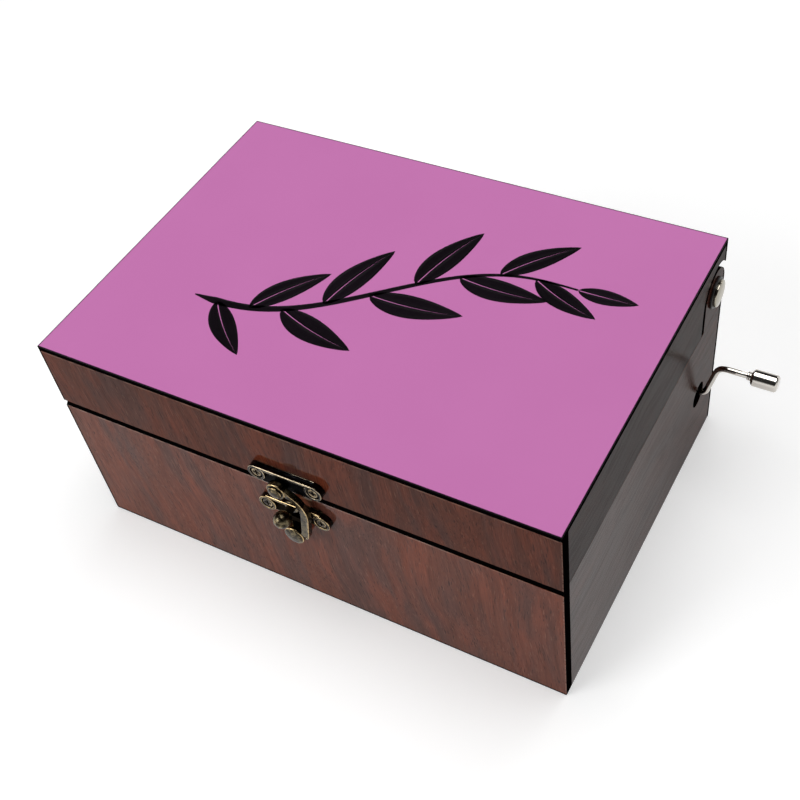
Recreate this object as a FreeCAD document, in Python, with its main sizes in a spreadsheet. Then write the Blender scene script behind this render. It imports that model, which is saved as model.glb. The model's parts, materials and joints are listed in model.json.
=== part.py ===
import FreeCAD, Part
import math
import os
import re
import Sketcher

# Hand-cranked music box: a wooden case with a hinged lid, a swing-hook catch on the front,
# and a pinned-drum movement inside that a bent crank turns through a worm.
# Millimetres. The origin is the centre of the bottom face, +Z up, +X towards the crank,
# -Y towards the catch.

sizes = {
    # case
    "box_width": 160, "box_depth": 112, "box_height": 75, "wall": 6,
    "lid_height": 23.6, "seam_gap": 0.2, "front_lip": 2.3, "seam_chamfer": 1.05,
    "floor_thickness": 5.5,
    # lid
    "lid_board": 4, "board_lip": 1.4, "print_thickness": 0.3,
    "ear_radius": 7.4, "ear_gap": 2.0, "neck_clearance": 0.9, "spine_gap": 0.7,
    "pin_radius": 1.5, "pin_clearance": 0.06, "pin_depth": 12, "pin_head_radius": 4.05,
    "pin_head_side": 0.9, "pin_head_dome": 0.45, "washer_radius": 4.8, "washer_thickness": 0.6,
    "side_clearance": 0.3, "washer_gap": 0.05,
    # crank
    "crank_inset": 14, "crank_hole_radius": 4.2, "crank_hole_drop": 1.7,
    "rod_radius": 0.95, "rod_clearance": 0.05, "first_bend_out": 2.0, "arm_rise": 12.6, "arm_lean": 3.4,
    "low_bend_radius": 2.4, "top_bend_radius": 3.6, "rod_tail": 1.0,
    "knob_start": 15.3, "knob_length": 7.8, "knob_radius": 2.6, "knob_chamfer": 0.55, "knob_end_wall": 0.7,
    "collar_radius": 1.35, "collar_length": 1.1, "collar_gap": 0.15,
    # movement
    "wheel_inset": 14, "bed_thickness": 2, "bed_margin": 1.65, "bed_wall_gap": 1.6, "drum_over_bed": 2.3,
    "wheel_teeth": 24, "worm_pitch_radius": 2.4, "tooth_module": 0.55, "tooth_thinning": 0.13,
    "tooth_tip": 0.5, "tooth_root": 0.65,
    "flank_slope": 0.364, "wheel_thickness": 2.4, "wheel_hub_radius": 2.6, "axial_play": 0.2,
    "worm_half_length": 6.8, "thread_turns": 4, "thread_sink": 0.2,
    "drum_radius": 6.5, "drum_wall": 0.8, "drum_start": 2.2, "drum_cap": 1.2,
    "shaft_radius": 1.0, "shaft_clearance": 0.05,
    "drum_pin_radius": 0.22, "drum_pin_height": 0.6, "drum_pin_sink": 0.3, "drum_beats": 40,
    "tracks": 18, "track_pitch": 1.05, "first_track": 0.9,
    "bracket_thickness": 1.6, "rear_plate_start": 3.2, "rear_plate_left": 13, "rear_plate_right": 12,
    "bearing_ear_thickness": 1.4, "bearing_ear_reach": 3.6, "bearing_ear_half": 4.2, "bearing_play": 0.2,
    "foot_thickness": 1.2, "foot_length": 8, "foot_inner": 7.5, "foot_screw_out": 2.3,
    "front_plate_half": 5.2, "front_plate_above": 3.8, "front_foot_length": 6, "front_screw_spread": 3,
    "bush_radius": 1.9, "bush_flange_radius": 2.6, "bush_flange": 0.5,
    "comb_thickness": 1.0, "comb_length": 22, "comb_slot": 0.25, "bass_tooth": 15.5, "treble_tooth": 10.5,
    "comb_tip_gap": 0.25, "comb_block_overhang": 1.2, "comb_block_length": 8,
    "comb_screw_from_heel": 3.4, "comb_screw_spread": 5.6,
    # fasteners
    "small_screw_head": 1.9, "small_screw_head_height": 1.0, "small_screw_radius": 1.0,
    "small_screw_length": 2.6, "comb_screw_head": 2.4, "comb_screw_head_height": 1.5,
    "comb_screw_radius": 1.3, "comb_screw_length": 6, "bed_screw_head": 2.6, "bed_screw_head_height": 1.2,
    "bed_screw_radius": 1.3, "bed_screw_length": 5.2, "bed_screw_inset": 3.6, "bed_screw_middle": 20,
    "bed_screw_sink": 1.5, "bed_screw_head_room": 0.2,
    "screw_slot": 0.5, "screw_slot_depth": 0.5, "screw_slot_share": 0.62,
    # catch on the front
    "catch_offset": 0.2, "lobe_rim": 0.75, "lobe_recess": 1.0, "plate_sheet": 0.9, "rim_thickness": 1.1,
    "lid_plate_rise": 5.1, "lid_lobe_spread": 9.0, "lid_plate_depth": 2.1, "lid_plate_drop": 4.9,
    "base_plate_fall": 8.6, "base_lobe_spread": 8.8, "base_plate_depth": 1.9, "base_plate_top": 3.6,
    "base_plate_drop": 3.4, "ball_left": 0.6, "ball_rise": 2.1, "ball_radius": 2.6, "ball_out": 6.0,
    "neck_radius": 1.2, "ball_seat_radius": 2.3,
    "rest_radius": 3.2, "rest_drop": 8.4, "rest_depth": 3.8, "rest_dome": 0.7,
    "hook_pivot_left": 2.1, "hook_pivot_drop": 2.6, "hook_eye_radius": 2.9, "hook_rise": 0.2,
    "hook_sweep_radius": 7.4, "hook_tip_rise": 2.6, "hook_tip_gap": 0.35,
    "hook_width": 2.7, "hook_thickness": 1.9, "hook_gap": 0.1,
    "rivet_radius": 1.2, "rivet_clearance": 0.06, "rivet_head_radius": 2.1, "rivet_head_height": 0.9,
    "catch_screw_head": 1.85, "catch_screw_head_height": 0.8, "catch_screw_radius": 0.9,
    "catch_screw_length": 5.4, "catch_screw_room": 0.15,
    "cut_margin": 1.0,
}

doc = FreeCAD.newDocument("music_box")
sheet = doc.addObject("Spreadsheet::Sheet", "Sizes")
for row, (name, number) in enumerate(sizes.items(), start=1):
    sheet.set("A%d" % row, name)
    sheet.set("B%d" % row, str(number))
    sheet.setAlias("B%d" % row, name)
doc.recompute()

sub_parts = []


def bound(text):
    """The expression with each size's name written as a cell of the sheet."""
    def cell(match):
        word = match.group()
        return "Sizes." + word if word in sizes else word
    return re.sub(r"[a-z_]+", cell, text)


def value(text):
    """What an expression comes to with the sizes in the sheet."""
    return float(sheet.evalExpression(bound(text)))


def new_body(label, place=("0", "0", "0")):
    """An empty body for one sub-part, standing at the given point."""
    body = doc.addObject("PartDesign::Body", label)
    body.Label = label
    for axis, text in zip("xyz", place):
        body.setExpression("Placement.Base." + axis, bound(text))
    sub_parts.append(body)
    return body


def sketch_on(body, role, offset="0"):
    """A sketch on one of the body's own origin planes, moved along its normal."""
    sketch = body.newObject("Sketcher::SketchObject", body.Label + "_sketch")
    plane = [item for item in body.Origin.OriginFeatures if item.Role == role][0]
    sketch.AttachmentSupport = (plane, [""])
    sketch.MapMode = "FlatFace"
    sketch.setExpression("AttachmentOffset.Base.z", bound(offset))
    return sketch


def fix(sketch, kind, geometry, vertex, text):
    """Hold one coordinate of a sketch vertex at an expression."""
    index = sketch.addConstraint(Sketcher.Constraint(kind, -1, 1, geometry, vertex, value(text)))
    sketch.setExpression("Constraints[%d]" % index, bound(text))


def polygon(sketch, corners):
    """A closed outline of straight lines through the corners."""
    points = [FreeCAD.Vector(value(across), value(up), 0) for across, up in corners]
    first = sketch.GeometryCount
    count = len(points)
    for number in range(count):
        sketch.addGeometry(Part.LineSegment(points[number], points[(number + 1) % count]), False)
    for number in range(count):
        following = first + (number + 1) % count
        sketch.addConstraint(Sketcher.Constraint("Coincident", first + number, 2, following, 1))
    for number, (across, up) in enumerate(corners):
        fix(sketch, "DistanceX", first + number, 1, across)
        fix(sketch, "DistanceY", first + number, 1, up)


def rectangle(sketch, left, right, low, high):
    polygon(sketch, [(left, low), (right, low), (right, high), (left, high)])


def circle(sketch, across, up, radius):
    centre = FreeCAD.Vector(value(across), value(up), 0)
    index = sketch.addGeometry(Part.Circle(centre, FreeCAD.Vector(0, 0, 1), value(radius)), False)
    fix(sketch, "DistanceX", index, 3, across)
    fix(sketch, "DistanceY", index, 3, up)
    constraint = sketch.addConstraint(Sketcher.Constraint("Radius", index, value(radius)))
    sketch.setExpression("Constraints[%d]" % constraint, bound(radius))


def pad(body, sketch, length, backwards=False, both_ways=False):
    feature = body.newObject("PartDesign::Pad", body.Label + "_pad")
    feature.Profile = sketch
    feature.setExpression("Length", bound(length))
    feature.Reversed = backwards
    if both_ways:
        feature.SideType = "Symmetric"
    doc.recompute()
    return feature


def pocket(body, sketch, backwards=False, length=None):
    """Cut the sketch out of the body, right through unless a depth is given."""
    before = body.Shape.Volume
    feature = body.newObject("PartDesign::Pocket", body.Label + "_pocket")
    feature.Profile = sketch
    feature.Reversed = backwards
    if length is None:
        feature.SideType = "Symmetric"
        feature.setExpression("Length", bound("4 * box_width"))
    else:
        feature.setExpression("Length", bound(length))
    doc.recompute()
    if body.Shape.Volume >= before:
        raise RuntimeError("nothing was cut from " + body.Label)
    return feature


def set_place(feature, place, rotation=None):
    if rotation is not None:
        feature.Placement = FreeCAD.Placement(FreeCAD.Vector(0, 0, 0), rotation)
    for axis, text in zip("xyz", place):
        feature.setExpression("Placement.Base." + axis, bound(text))


def block(body, across, along, up, cut=False):
    """A box between two values on each axis, added to the body or cut from it."""
    kind = "PartDesign::SubtractiveBox" if cut else "PartDesign::AdditiveBox"
    feature = body.newObject(kind, body.Label + "_block")
    for side, (low, high) in zip(("Length", "Width", "Height"), (across, along, up)):
        feature.setExpression(side, bound("(%s) - (%s)" % (high, low)))
    set_place(feature, (across[0], along[0], up[0]))
    doc.recompute()
    return feature


turns = {
    "x": FreeCAD.Rotation(FreeCAD.Vector(0, 0, 1), FreeCAD.Vector(1, 0, 0)),
    "y": FreeCAD.Rotation(FreeCAD.Vector(0, 0, 1), FreeCAD.Vector(0, 1, 0)),
    "z": FreeCAD.Rotation(),
}


def cylinder(body, axis, start, length, radius, cut=False):
    """A cylinder from a point along a positive axis, added to the body or cut from it."""
    kind = "PartDesign::SubtractiveCylinder" if cut else "PartDesign::AdditiveCylinder"
    feature = body.newObject(kind, body.Label + "_cylinder")
    feature.setExpression("Radius", bound(radius))
    feature.setExpression("Height", bound(length))
    set_place(feature, start, turns[axis])
    doc.recompute()
    return feature


def ball(body, centre, radius):
    feature = body.newObject("PartDesign::AdditiveSphere", body.Label + "_ball")
    feature.setExpression("Radius", bound(radius))
    set_place(feature, centre)
    doc.recompute()
    return feature


def dome(body, rotation, base, radius, height):
    """A shallow dome on a flat base: the cap of a sphere."""
    sphere = "((%s)^2 + (%s)^2) / (2 * (%s))" % (radius, height, height)
    feature = body.newObject("PartDesign::AdditiveSphere", body.Label + "_dome")
    feature.setExpression("Radius", bound(sphere))
    feature.setExpression("Angle1", bound("asin(1 - (%s) / (%s))" % (height, sphere)))
    feature.Placement = FreeCAD.Placement(FreeCAD.Vector(0, 0, 0), rotation)
    direction = rotation.multVec(FreeCAD.Vector(0, 0, 1))
    for axis, text, sign in zip("xyz", base, direction):
        shifted = "(%s) - (%g) * ((%s) - (%s))" % (text, round(sign), sphere, height)
        feature.setExpression("Placement.Base." + axis, bound(shifted))
    doc.recompute()
    return feature


def edges_at(shape, **places):
    """The names of the edges whose two ends lie at the given coordinates."""
    names = []
    for number, edge in enumerate(shape.Edges, start=1):
        ends = [vertex.Point for vertex in edge.Vertexes]
        if all(abs(getattr(end, axis) - place) < 1e-4 for end in ends for axis, place in places.items()):
            names.append("Edge%d" % number)
    return names


def chamfer(body, size, **places):
    """Bevel the edges of the body that lie at the given coordinates."""
    feature = body.newObject("PartDesign::Chamfer", body.Label + "_chamfer")
    base = body.Group[-2]
    names = edges_at(base.Shape, **places)
    if not names:
        raise RuntimeError("no edge to bevel on " + body.Label)
    feature.Base = (base, names)
    feature.setExpression("Size", bound(size))
    body.Tip = feature
    doc.recompute()
    return feature


# Heights and places that several sub-parts share, as expressions of the sizes
seam_height = "(box_height - lid_height)"
base_top = "(%s - seam_gap / 2)" % seam_height
lid_bottom = "(%s + seam_gap / 2)" % seam_height
lid_top = "(box_height - print_thickness)"
half_width = "(box_width / 2)"
half_depth = "(box_depth / 2)"
inner_width = "(box_width / 2 - wall)"
inner_depth = "(box_depth / 2 - wall)"
rail_top = "(%s - board_lip)" % lid_top
lip_back = "(front_lip - box_depth / 2)"
ear_cut_radius = "(ear_radius + ear_gap)"
spine_radius = "(%s - spine_gap)" % ear_cut_radius
pivot_y = "(%s - ear_radius)" % half_depth
pivot_z = "(%s + %s)" % (seam_height, ear_cut_radius)
crank_y = "(box_depth / 2 - crank_inset)"
wheel_x = "(box_width / 2 - wall - wheel_inset)"
bed_top = "(floor_thickness + bed_thickness)"
drum_z = "(%s + drum_over_bed + drum_radius + drum_pin_height)" % bed_top
crank_height = "(%s + worm_pitch_radius + tooth_module * wheel_teeth / 2)" % drum_z
front_face = "(-box_depth / 2)"
lobe_radius = "(catch_screw_head + catch_screw_room + lobe_rim)"
lid_plate_height = "(%s + lid_plate_rise)" % seam_height
base_plate_height = "(%s - base_plate_fall)" % seam_height
ball_height = "(%s + ball_rise)" % base_plate_height
ball_across = "(catch_offset - ball_left)"
rest_height = "(%s - rest_drop)" % base_plate_height
hook_pivot_height = "(%s - hook_pivot_drop)" % lid_plate_height
drum_length = "(2 * first_track + track_pitch * (tracks - 1))"
drum_front = "(drum_start + %s)" % drum_length


def front_section(sketch):
    """The front wall seen from above: a lip at the front laps over the side walls' ends."""
    polygon(sketch, [
        ("-" + half_width, front_face), (half_width, front_face),
        (half_width, lip_back), (inner_width, lip_back),
        (inner_width, "%s + wall" % front_face), ("-" + inner_width, "%s + wall" % front_face),
        ("-" + inner_width, lip_back), ("-" + half_width, lip_back),
    ])


def wall_span(side):
    """Where a side wall's two faces stand."""
    return ("-" + half_width, "-" + inner_width) if side == "-1" else (inner_width, half_width)


movement = (wheel_x, crank_y, bed_top)
crank_rise = "(%s - %s)" % (crank_height, bed_top)
drum_rise = "(%s - %s)" % (drum_z, bed_top)
front_plate_back = "(%s + drum_cap + axial_play)" % drum_front
front_foot_end = "(%s + bracket_thickness + front_foot_length)" % front_plate_back
rear_screw_row = "(rear_plate_start - foot_length / 2)"
front_screw_row = "(front_foot_length / 2 - %s)" % front_foot_end
rear_screw_column = "(foot_inner + foot_screw_out)"
bracket_screws = [
    ("%s - %s" % (wheel_x, rear_screw_column), "%s + %s" % (crank_y, rear_screw_row)),
    ("%s + %s" % (wheel_x, rear_screw_column), "%s + %s" % (crank_y, rear_screw_row)),
    ("%s - front_screw_spread" % wheel_x, "%s + %s" % (crank_y, front_screw_row)),
    ("%s + front_screw_spread" % wheel_x, "%s + %s" % (crank_y, front_screw_row)),
]
comb_tip = "(drum_radius + drum_pin_height + comb_tip_gap)"
comb_heel = "(%s + comb_length)" % comb_tip
comb_half_width = "(track_pitch * tracks / 2)"
comb_middle = "(-drum_start - first_track - track_pitch * (tracks - 1) / 2)"
comb_screw_row = "(comb_screw_from_heel - %s)" % comb_heel
comb_screw_places = ["(%s %s comb_screw_spread)" % (comb_middle, sign) for sign in "-+"]
bed_left = "(%s - %s - bed_margin)" % (wheel_x, comb_heel)
bed_right = "(%s - bed_wall_gap)" % inner_width
bed_front = "(%s - %s - bed_margin)" % (crank_y, front_foot_end)
bed_back = "(%s - bed_wall_gap)" % inner_depth
bed_screws = [
    ("%s + bed_screw_inset" % bed_left, "%s + bed_screw_inset" % bed_front),
    ("%s - bed_screw_inset" % bed_right, "%s + bed_screw_inset" % bed_front),
    ("%s + bed_screw_inset" % bed_left, "%s - bed_screw_inset" % bed_back),
    ("%s - bed_screw_inset" % bed_right, "%s + bed_screw_middle" % bed_front),
]


def pilot_holes(body, spread, height, depth):
    """The blind holes that a catch plate's two screws bite into."""
    seat = "%s - %s + lobe_recess" % (front_face, depth)
    for sign in "-+":
        across = "catch_offset %s %s" % (sign, spread)
        cylinder(body, "y", (across, seat, height), "catch_screw_length", "catch_screw_radius", cut=True)


def base_front():
    body = new_body("base_front_panel")
    sketch = sketch_on(body, "XY_Plane")
    front_section(sketch)
    pad(body, sketch, base_top)
    chamfer(body, "seam_chamfer", y=value(front_face), z=value(base_top))
    pilot_holes(body, "base_lobe_spread", base_plate_height, "base_plate_depth")


def base_back():
    body = new_body("base_back_panel")
    block(body, ("-" + inner_width, inner_width), (inner_depth, half_depth), ("0", base_top))


def base_side(label, side, with_crank_hole):
    """A side wall of the base, with the round ear that carries the lid's pivot pin.

    The neck under the ear is flush with its front, and short enough at the back for the open lid.
    """
    body = new_body(label)
    block(body, wall_span(side), (lip_back, half_depth), ("0", base_top))
    lid_end = "sqrt(%s^2 - ear_radius^2)" % ear_cut_radius
    neck = ("%s - ear_radius" % pivot_y, "%s + %s - neck_clearance" % (pivot_y, lid_end))
    block(body, wall_span(side), neck, ("%s - cut_margin" % base_top, pivot_z))
    ear = sketch_on(body, "YZ_Plane", "%s * %s" % (side, inner_width))
    circle(ear, pivot_y, pivot_z, "ear_radius")
    pad(body, ear, "wall", backwards=(side == "-1"))
    holes = sketch_on(body, "YZ_Plane", "%s * %s" % (side, inner_width))
    circle(holes, pivot_y, pivot_z, "pin_radius + pin_clearance")
    if with_crank_hole:
        circle(holes, crank_y, "%s - crank_hole_drop" % crank_height, "crank_hole_radius")
    pocket(body, holes, backwards=(side == "1"), length="wall")


def base_floor():
    """The floor, flush with the walls' lower edges, with sunk holes for the bedplate's screws."""
    body = new_body("base_floor_panel")
    block(body, ("-" + inner_width, inner_width), ("-" + inner_depth, inner_depth), ("0", "floor_thickness"))
    for across, along in bed_screws:
        cylinder(body, "z", (across, along, "0"), "floor_thickness", "bed_screw_radius", cut=True)
        cylinder(body, "z", (across, along, "0"), "bed_screw_sink", "bed_screw_head + bed_screw_head_room",
                 cut=True)


def lid_front():
    body = new_body("lid_front_rail")
    sketch = sketch_on(body, "XY_Plane", lid_bottom)
    front_section(sketch)
    pad(body, sketch, "%s - %s" % (rail_top, lid_bottom))
    chamfer(body, "seam_chamfer", y=value(front_face), z=value(lid_bottom))
    pilot_holes(body, "lid_lobe_spread", lid_plate_height, "lid_plate_depth")


def lid_side(label, side):
    """A side rail of the lid, cut away round the base's ear and behind it."""
    body = new_body(label)
    block(body, wall_span(side), (lip_back, half_depth), (lid_bottom, rail_top))
    round_cut = sketch_on(body, "YZ_Plane")
    circle(round_cut, pivot_y, pivot_z, ear_cut_radius)
    pocket(body, round_cut)
    lower_cut = sketch_on(body, "YZ_Plane")
    rectangle(lower_cut, "%s - %s" % (pivot_y, ear_cut_radius), "%s + cut_margin" % half_depth,
              "%s - cut_margin" % lid_bottom, pivot_z)
    pocket(body, lower_cut)


def lid_spine():
    """The lid's rear beam: half round underneath, so that it turns between the ears."""
    body = new_body("lid_spine_rail")
    span = "2 * (%s - side_clearance)" % inner_width
    round_part = sketch_on(body, "YZ_Plane")
    circle(round_part, pivot_y, pivot_z, spine_radius)
    pad(body, round_part, span, both_ways=True)
    upper = sketch_on(body, "YZ_Plane")
    rectangle(upper, "%s - %s" % (pivot_y, spine_radius), half_depth, pivot_z, rail_top)
    pad(body, upper, span, both_ways=True)
    behind = sketch_on(body, "YZ_Plane")
    rectangle(behind, half_depth, "%s + ear_radius" % half_depth, "0", "box_height")
    pocket(body, behind)
    for side in ("-1", "1"):
        start = "%s * (%s - side_clearance) - %s" % (side, inner_width, "pin_depth" if side == "1" else "0")
        cylinder(body, "x", (start, pivot_y, pivot_z), "pin_depth", "pin_radius", cut=True)


def lid_board():
    """The lid's top board: let in between the rails, with a thin lip that covers their edges."""
    body = new_body("lid_top_board")
    block(body, ("-" + half_width, half_width), (front_face, half_depth), (rail_top, lid_top))
    block(body, ("-" + inner_width, inner_width), ("-" + inner_depth, "%s - %s" % (pivot_y, spine_radius)),
          ("%s - lid_board" % lid_top, lid_top))


def lid_print():
    """The printed sheet that covers the whole top of the lid."""
    body = new_body("lid_print_sheet")
    block(body, ("-" + half_width, half_width), (front_face, half_depth), (lid_top, "box_height"))


def hinge_pins():
    """Two pins with thick domed heads, driven through the ears into the spine's ends."""
    body = new_body("hinge_pins")
    seat = "(%s + washer_gap + washer_thickness)" % half_width
    shank = "(%s - (%s - side_clearance) + pin_depth)" % (seat, inner_width)
    for side in (1, -1):
        shank_start = "%s - %s" % (seat, shank) if side == 1 else "-" + seat
        cylinder(body, "x", (shank_start, pivot_y, pivot_z), shank, "pin_radius")
        head_start = seat if side == 1 else "-%s - pin_head_side" % seat
        cylinder(body, "x", (head_start, pivot_y, pivot_z), "pin_head_side", "pin_head_radius")
        outwards = FreeCAD.Rotation(FreeCAD.Vector(0, 0, 1), FreeCAD.Vector(side, 0, 0))
        crown = ("%d * (%s + pin_head_side)" % (side, seat), pivot_y, pivot_z)
        dome(body, outwards, crown, "pin_head_radius", "pin_head_dome")


def hinge_washers():
    body = new_body("hinge_washers")
    for start in ("%s + washer_gap" % half_width, "-%s - washer_gap - washer_thickness" % half_width):
        cylinder(body, "x", (start, pivot_y, pivot_z), "washer_thickness", "washer_radius")
        cylinder(body, "x", (start, pivot_y, pivot_z), "washer_thickness", "pin_radius", cut=True)


def upright_screws(label, centres, seat, head, head_height, shank, length, head_up=True):
    """A group of identical cross-slotted screws, standing upright with their heads on a seat."""
    body = new_body(label)
    for across, along in centres:
        head_low = seat if head_up else "%s - %s" % (seat, head_height)
        shank_low = "%s - %s" % (seat, length) if head_up else seat
        cylinder(body, "z", (across, along, head_low), head_height, head)
        cylinder(body, "z", (across, along, shank_low), length, shank)
        slot_low = "%s + %s - screw_slot_depth" % (seat, head_height) if head_up else head_low
        half = "%s * screw_slot_share" % head
        up = (slot_low, slot_low + " + screw_slot_depth")
        narrow = "screw_slot / 2"
        block(body, ("%s - %s" % (across, half), "%s + %s" % (across, half)),
              ("%s - %s" % (along, narrow), "%s + %s" % (along, narrow)), up, cut=True)
        block(body, ("%s - %s" % (across, narrow), "%s + %s" % (across, narrow)),
              ("%s - %s" % (along, half), "%s + %s" % (along, half)), up, cut=True)


def bedplate():
    body = new_body("movement_bedplate")
    block(body, (bed_left, bed_right), (bed_front, bed_back), ("floor_thickness", bed_top))
    for across, along in bed_screws:
        cylinder(body, "z", (across, along, "0"), "box_height", "bed_screw_radius", cut=True)
    for across, along in bracket_screws:
        cylinder(body, "z", (across, along, "0"), "box_height", "small_screw_radius", cut=True)


def rear_bracket():
    """The bent plate behind the gear: the drum's rear bearing and the worm's two bearing ears."""
    body = new_body("rear_bearing_bracket", movement)
    back = "rear_plate_start + bracket_thickness"
    top = "%s + bearing_ear_half" % crank_rise
    block(body, ("-rear_plate_left", "rear_plate_right"), ("rear_plate_start", back), ("0", top))
    block(body, ("-rear_plate_left", "-foot_inner"), ("rear_plate_start - foot_length", "rear_plate_start"),
          ("0", "foot_thickness"))
    block(body, ("foot_inner", "rear_plate_right"), ("rear_plate_start - foot_length", "rear_plate_start"),
          ("0", "foot_thickness"))
    inner = "(worm_half_length + bearing_play)"
    for low, high in (("-%s - bearing_ear_thickness" % inner, "-" + inner),
                      (inner, inner + " + bearing_ear_thickness")):
        block(body, (low, high), ("-bearing_ear_reach", "rear_plate_start"),
              ("%s - bearing_ear_half" % crank_rise, top))
    cylinder(body, "x", ("-rear_plate_left", "0", crank_rise), "2 * rear_plate_left", "bush_radius",
             cut=True)
    cylinder(body, "y", ("0", "0", drum_rise), back, "bush_radius", cut=True)
    for sign in "-+":
        cylinder(body, "z", (sign + rear_screw_column, rear_screw_row, "0"), "foot_thickness",
                 "small_screw_radius", cut=True)


def front_bracket():
    """The bent plate in front of the drum, with its front bearing."""
    body = new_body("front_bearing_bracket", movement)
    back = "-" + front_plate_back
    front = back + " - bracket_thickness"
    across = ("-front_plate_half", "front_plate_half")
    block(body, across, (front, back), ("0", drum_rise + " + front_plate_above"))
    block(body, across, (front + " - front_foot_length", front), ("0", "foot_thickness"))
    cylinder(body, "y", ("0", front, drum_rise), "bracket_thickness", "bush_radius", cut=True)
    for sign in "-+":
        cylinder(body, "z", (sign + "front_screw_spread", front_screw_row, "0"), "foot_thickness",
                 "small_screw_radius", cut=True)


def drum_bushes():
    """Two flanged bushes that carry the drum's shaft."""
    body = new_body("drum_bushes", (wheel_x, crank_y, drum_z))
    running = "shaft_radius + shaft_clearance"
    rear = "rear_plate_start"
    cylinder(body, "y", ("0", rear, "0"), "bracket_thickness", "bush_radius")
    cylinder(body, "y", ("0", rear + " + bracket_thickness", "0"), "bush_flange", "bush_flange_radius")
    front = "-%s - bracket_thickness" % front_plate_back
    cylinder(body, "y", ("0", front, "0"), "bracket_thickness", "bush_radius")
    cylinder(body, "y", ("0", front + " - bush_flange", "0"), "bush_flange", "bush_flange_radius")
    cylinder(body, "y", ("0", front + " - bush_flange", "0"), "box_depth", running, cut=True)


def crank_bushes():
    """Two flanged bushes that carry the crank rod in the rear bracket's ears."""
    body = new_body("crank_bushes", (wheel_x, crank_y, crank_height))
    outer = "(worm_half_length + bearing_play + bearing_ear_thickness)"
    for side in (1, -1):
        start = "%s - bearing_ear_thickness" % outer if side == 1 else "-" + outer
        cylinder(body, "x", (start, "0", "0"), "bearing_ear_thickness", "bush_radius")
        flange = outer if side == 1 else "-%s - bush_flange" % outer
        cylinder(body, "x", (flange, "0", "0"), "bush_flange", "bush_flange_radius")
    cylinder(body, "x", ("-box_width", "0", "0"), "2 * box_width", "rod_radius + rod_clearance", cut=True)


def worm():
    """A one-start worm pressed on the crank rod."""
    body = new_body("crank_worm", (wheel_x, crank_y, crank_height))
    core = "(worm_pitch_radius - tooth_root)"
    cylinder(body, "x", ("-worm_half_length", "0", "0"), "2 * worm_half_length", core)
    profile = sketch_on(body, "XZ_Plane")
    half = "(pi * tooth_module / 4 - tooth_thinning)"
    start = "(-pi * tooth_module * floor(thread_turns / 2))"
    root_half = "(%s + flank_slope * (tooth_root + thread_sink))" % half
    tip_half = "(%s - flank_slope * tooth_tip)" % half
    polygon(profile, [
        ("%s - %s" % (start, root_half), "%s - thread_sink" % core),
        ("%s + %s" % (start, root_half), "%s - thread_sink" % core),
        ("%s + %s" % (start, tip_half), "worm_pitch_radius + tooth_tip"),
        ("%s - %s" % (start, tip_half), "worm_pitch_radius + tooth_tip"),
    ])
    thread = body.newObject("PartDesign::AdditiveHelix", "crank_worm_thread")
    thread.Profile = profile
    thread.ReferenceAxis = (profile, ["H_Axis"])
    thread.Mode = "pitch-height-angle"
    thread.setExpression("Pitch", bound("pi * tooth_module"))
    thread.setExpression("Height", bound("pi * tooth_module * thread_turns"))
    doc.recompute()
    cylinder(body, "x", ("-worm_half_length", "0", "0"), "2 * worm_half_length", "rod_radius", cut=True)


def gear():
    """The drum's worm wheel, with straight-flanked teeth that leave the thread room to lean."""
    body = new_body("drum_gear", (wheel_x, crank_y, drum_z))
    pitch_radius = "(tooth_module * wheel_teeth / 2)"
    root = "(%s - tooth_root)" % pitch_radius
    cylinder(body, "y", ("0", "-wheel_thickness / 2", "0"), "wheel_thickness", root)
    half = "(pi * tooth_module / 4 - tooth_thinning)"
    root_half = "(%s + flank_slope * tooth_root)" % half
    tip_half = "(%s - flank_slope * tooth_tip)" % half
    profile = sketch_on(body, "XZ_Plane", "-wheel_thickness / 2")
    polygon(profile, [
        ("-" + root_half, root + " - thread_sink"), (root_half, root + " - thread_sink"), (root_half, root),
        (tip_half, "%s + tooth_tip" % pitch_radius), ("-" + tip_half, "%s + tooth_tip" % pitch_radius),
        ("-" + root_half, root),
    ])
    tooth = pad(body, profile, "wheel_thickness")
    ring = body.newObject("PartDesign::PolarPattern", "drum_gear_teeth")
    ring.Originals = [tooth]
    ring.Axis = (profile, ["N_Axis"])
    ring.Angle = 360
    ring.setExpression("Occurrences", bound("wheel_teeth"))
    body.Tip = ring
    doc.recompute()
    hub_length = "(rear_plate_start - axial_play - wheel_thickness / 2)"
    cylinder(body, "y", ("0", "wheel_thickness / 2", "0"), hub_length, "wheel_hub_radius")
    cylinder(body, "y", ("0", "-wheel_thickness", "0"), "3 * wheel_thickness", "shaft_radius", cut=True)


def tune(track, beats):
    """The beats on which one note sounds: evenly spaced, in another number and spacing for each note."""
    fewest, closest, kinds = 5, 5, 4
    notes = fewest + (track * 3) % kinds
    spacing = closest + (track * 7) % kinds
    first = track * 11
    return [(first + count * spacing) % beats for count in range(notes)]


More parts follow.
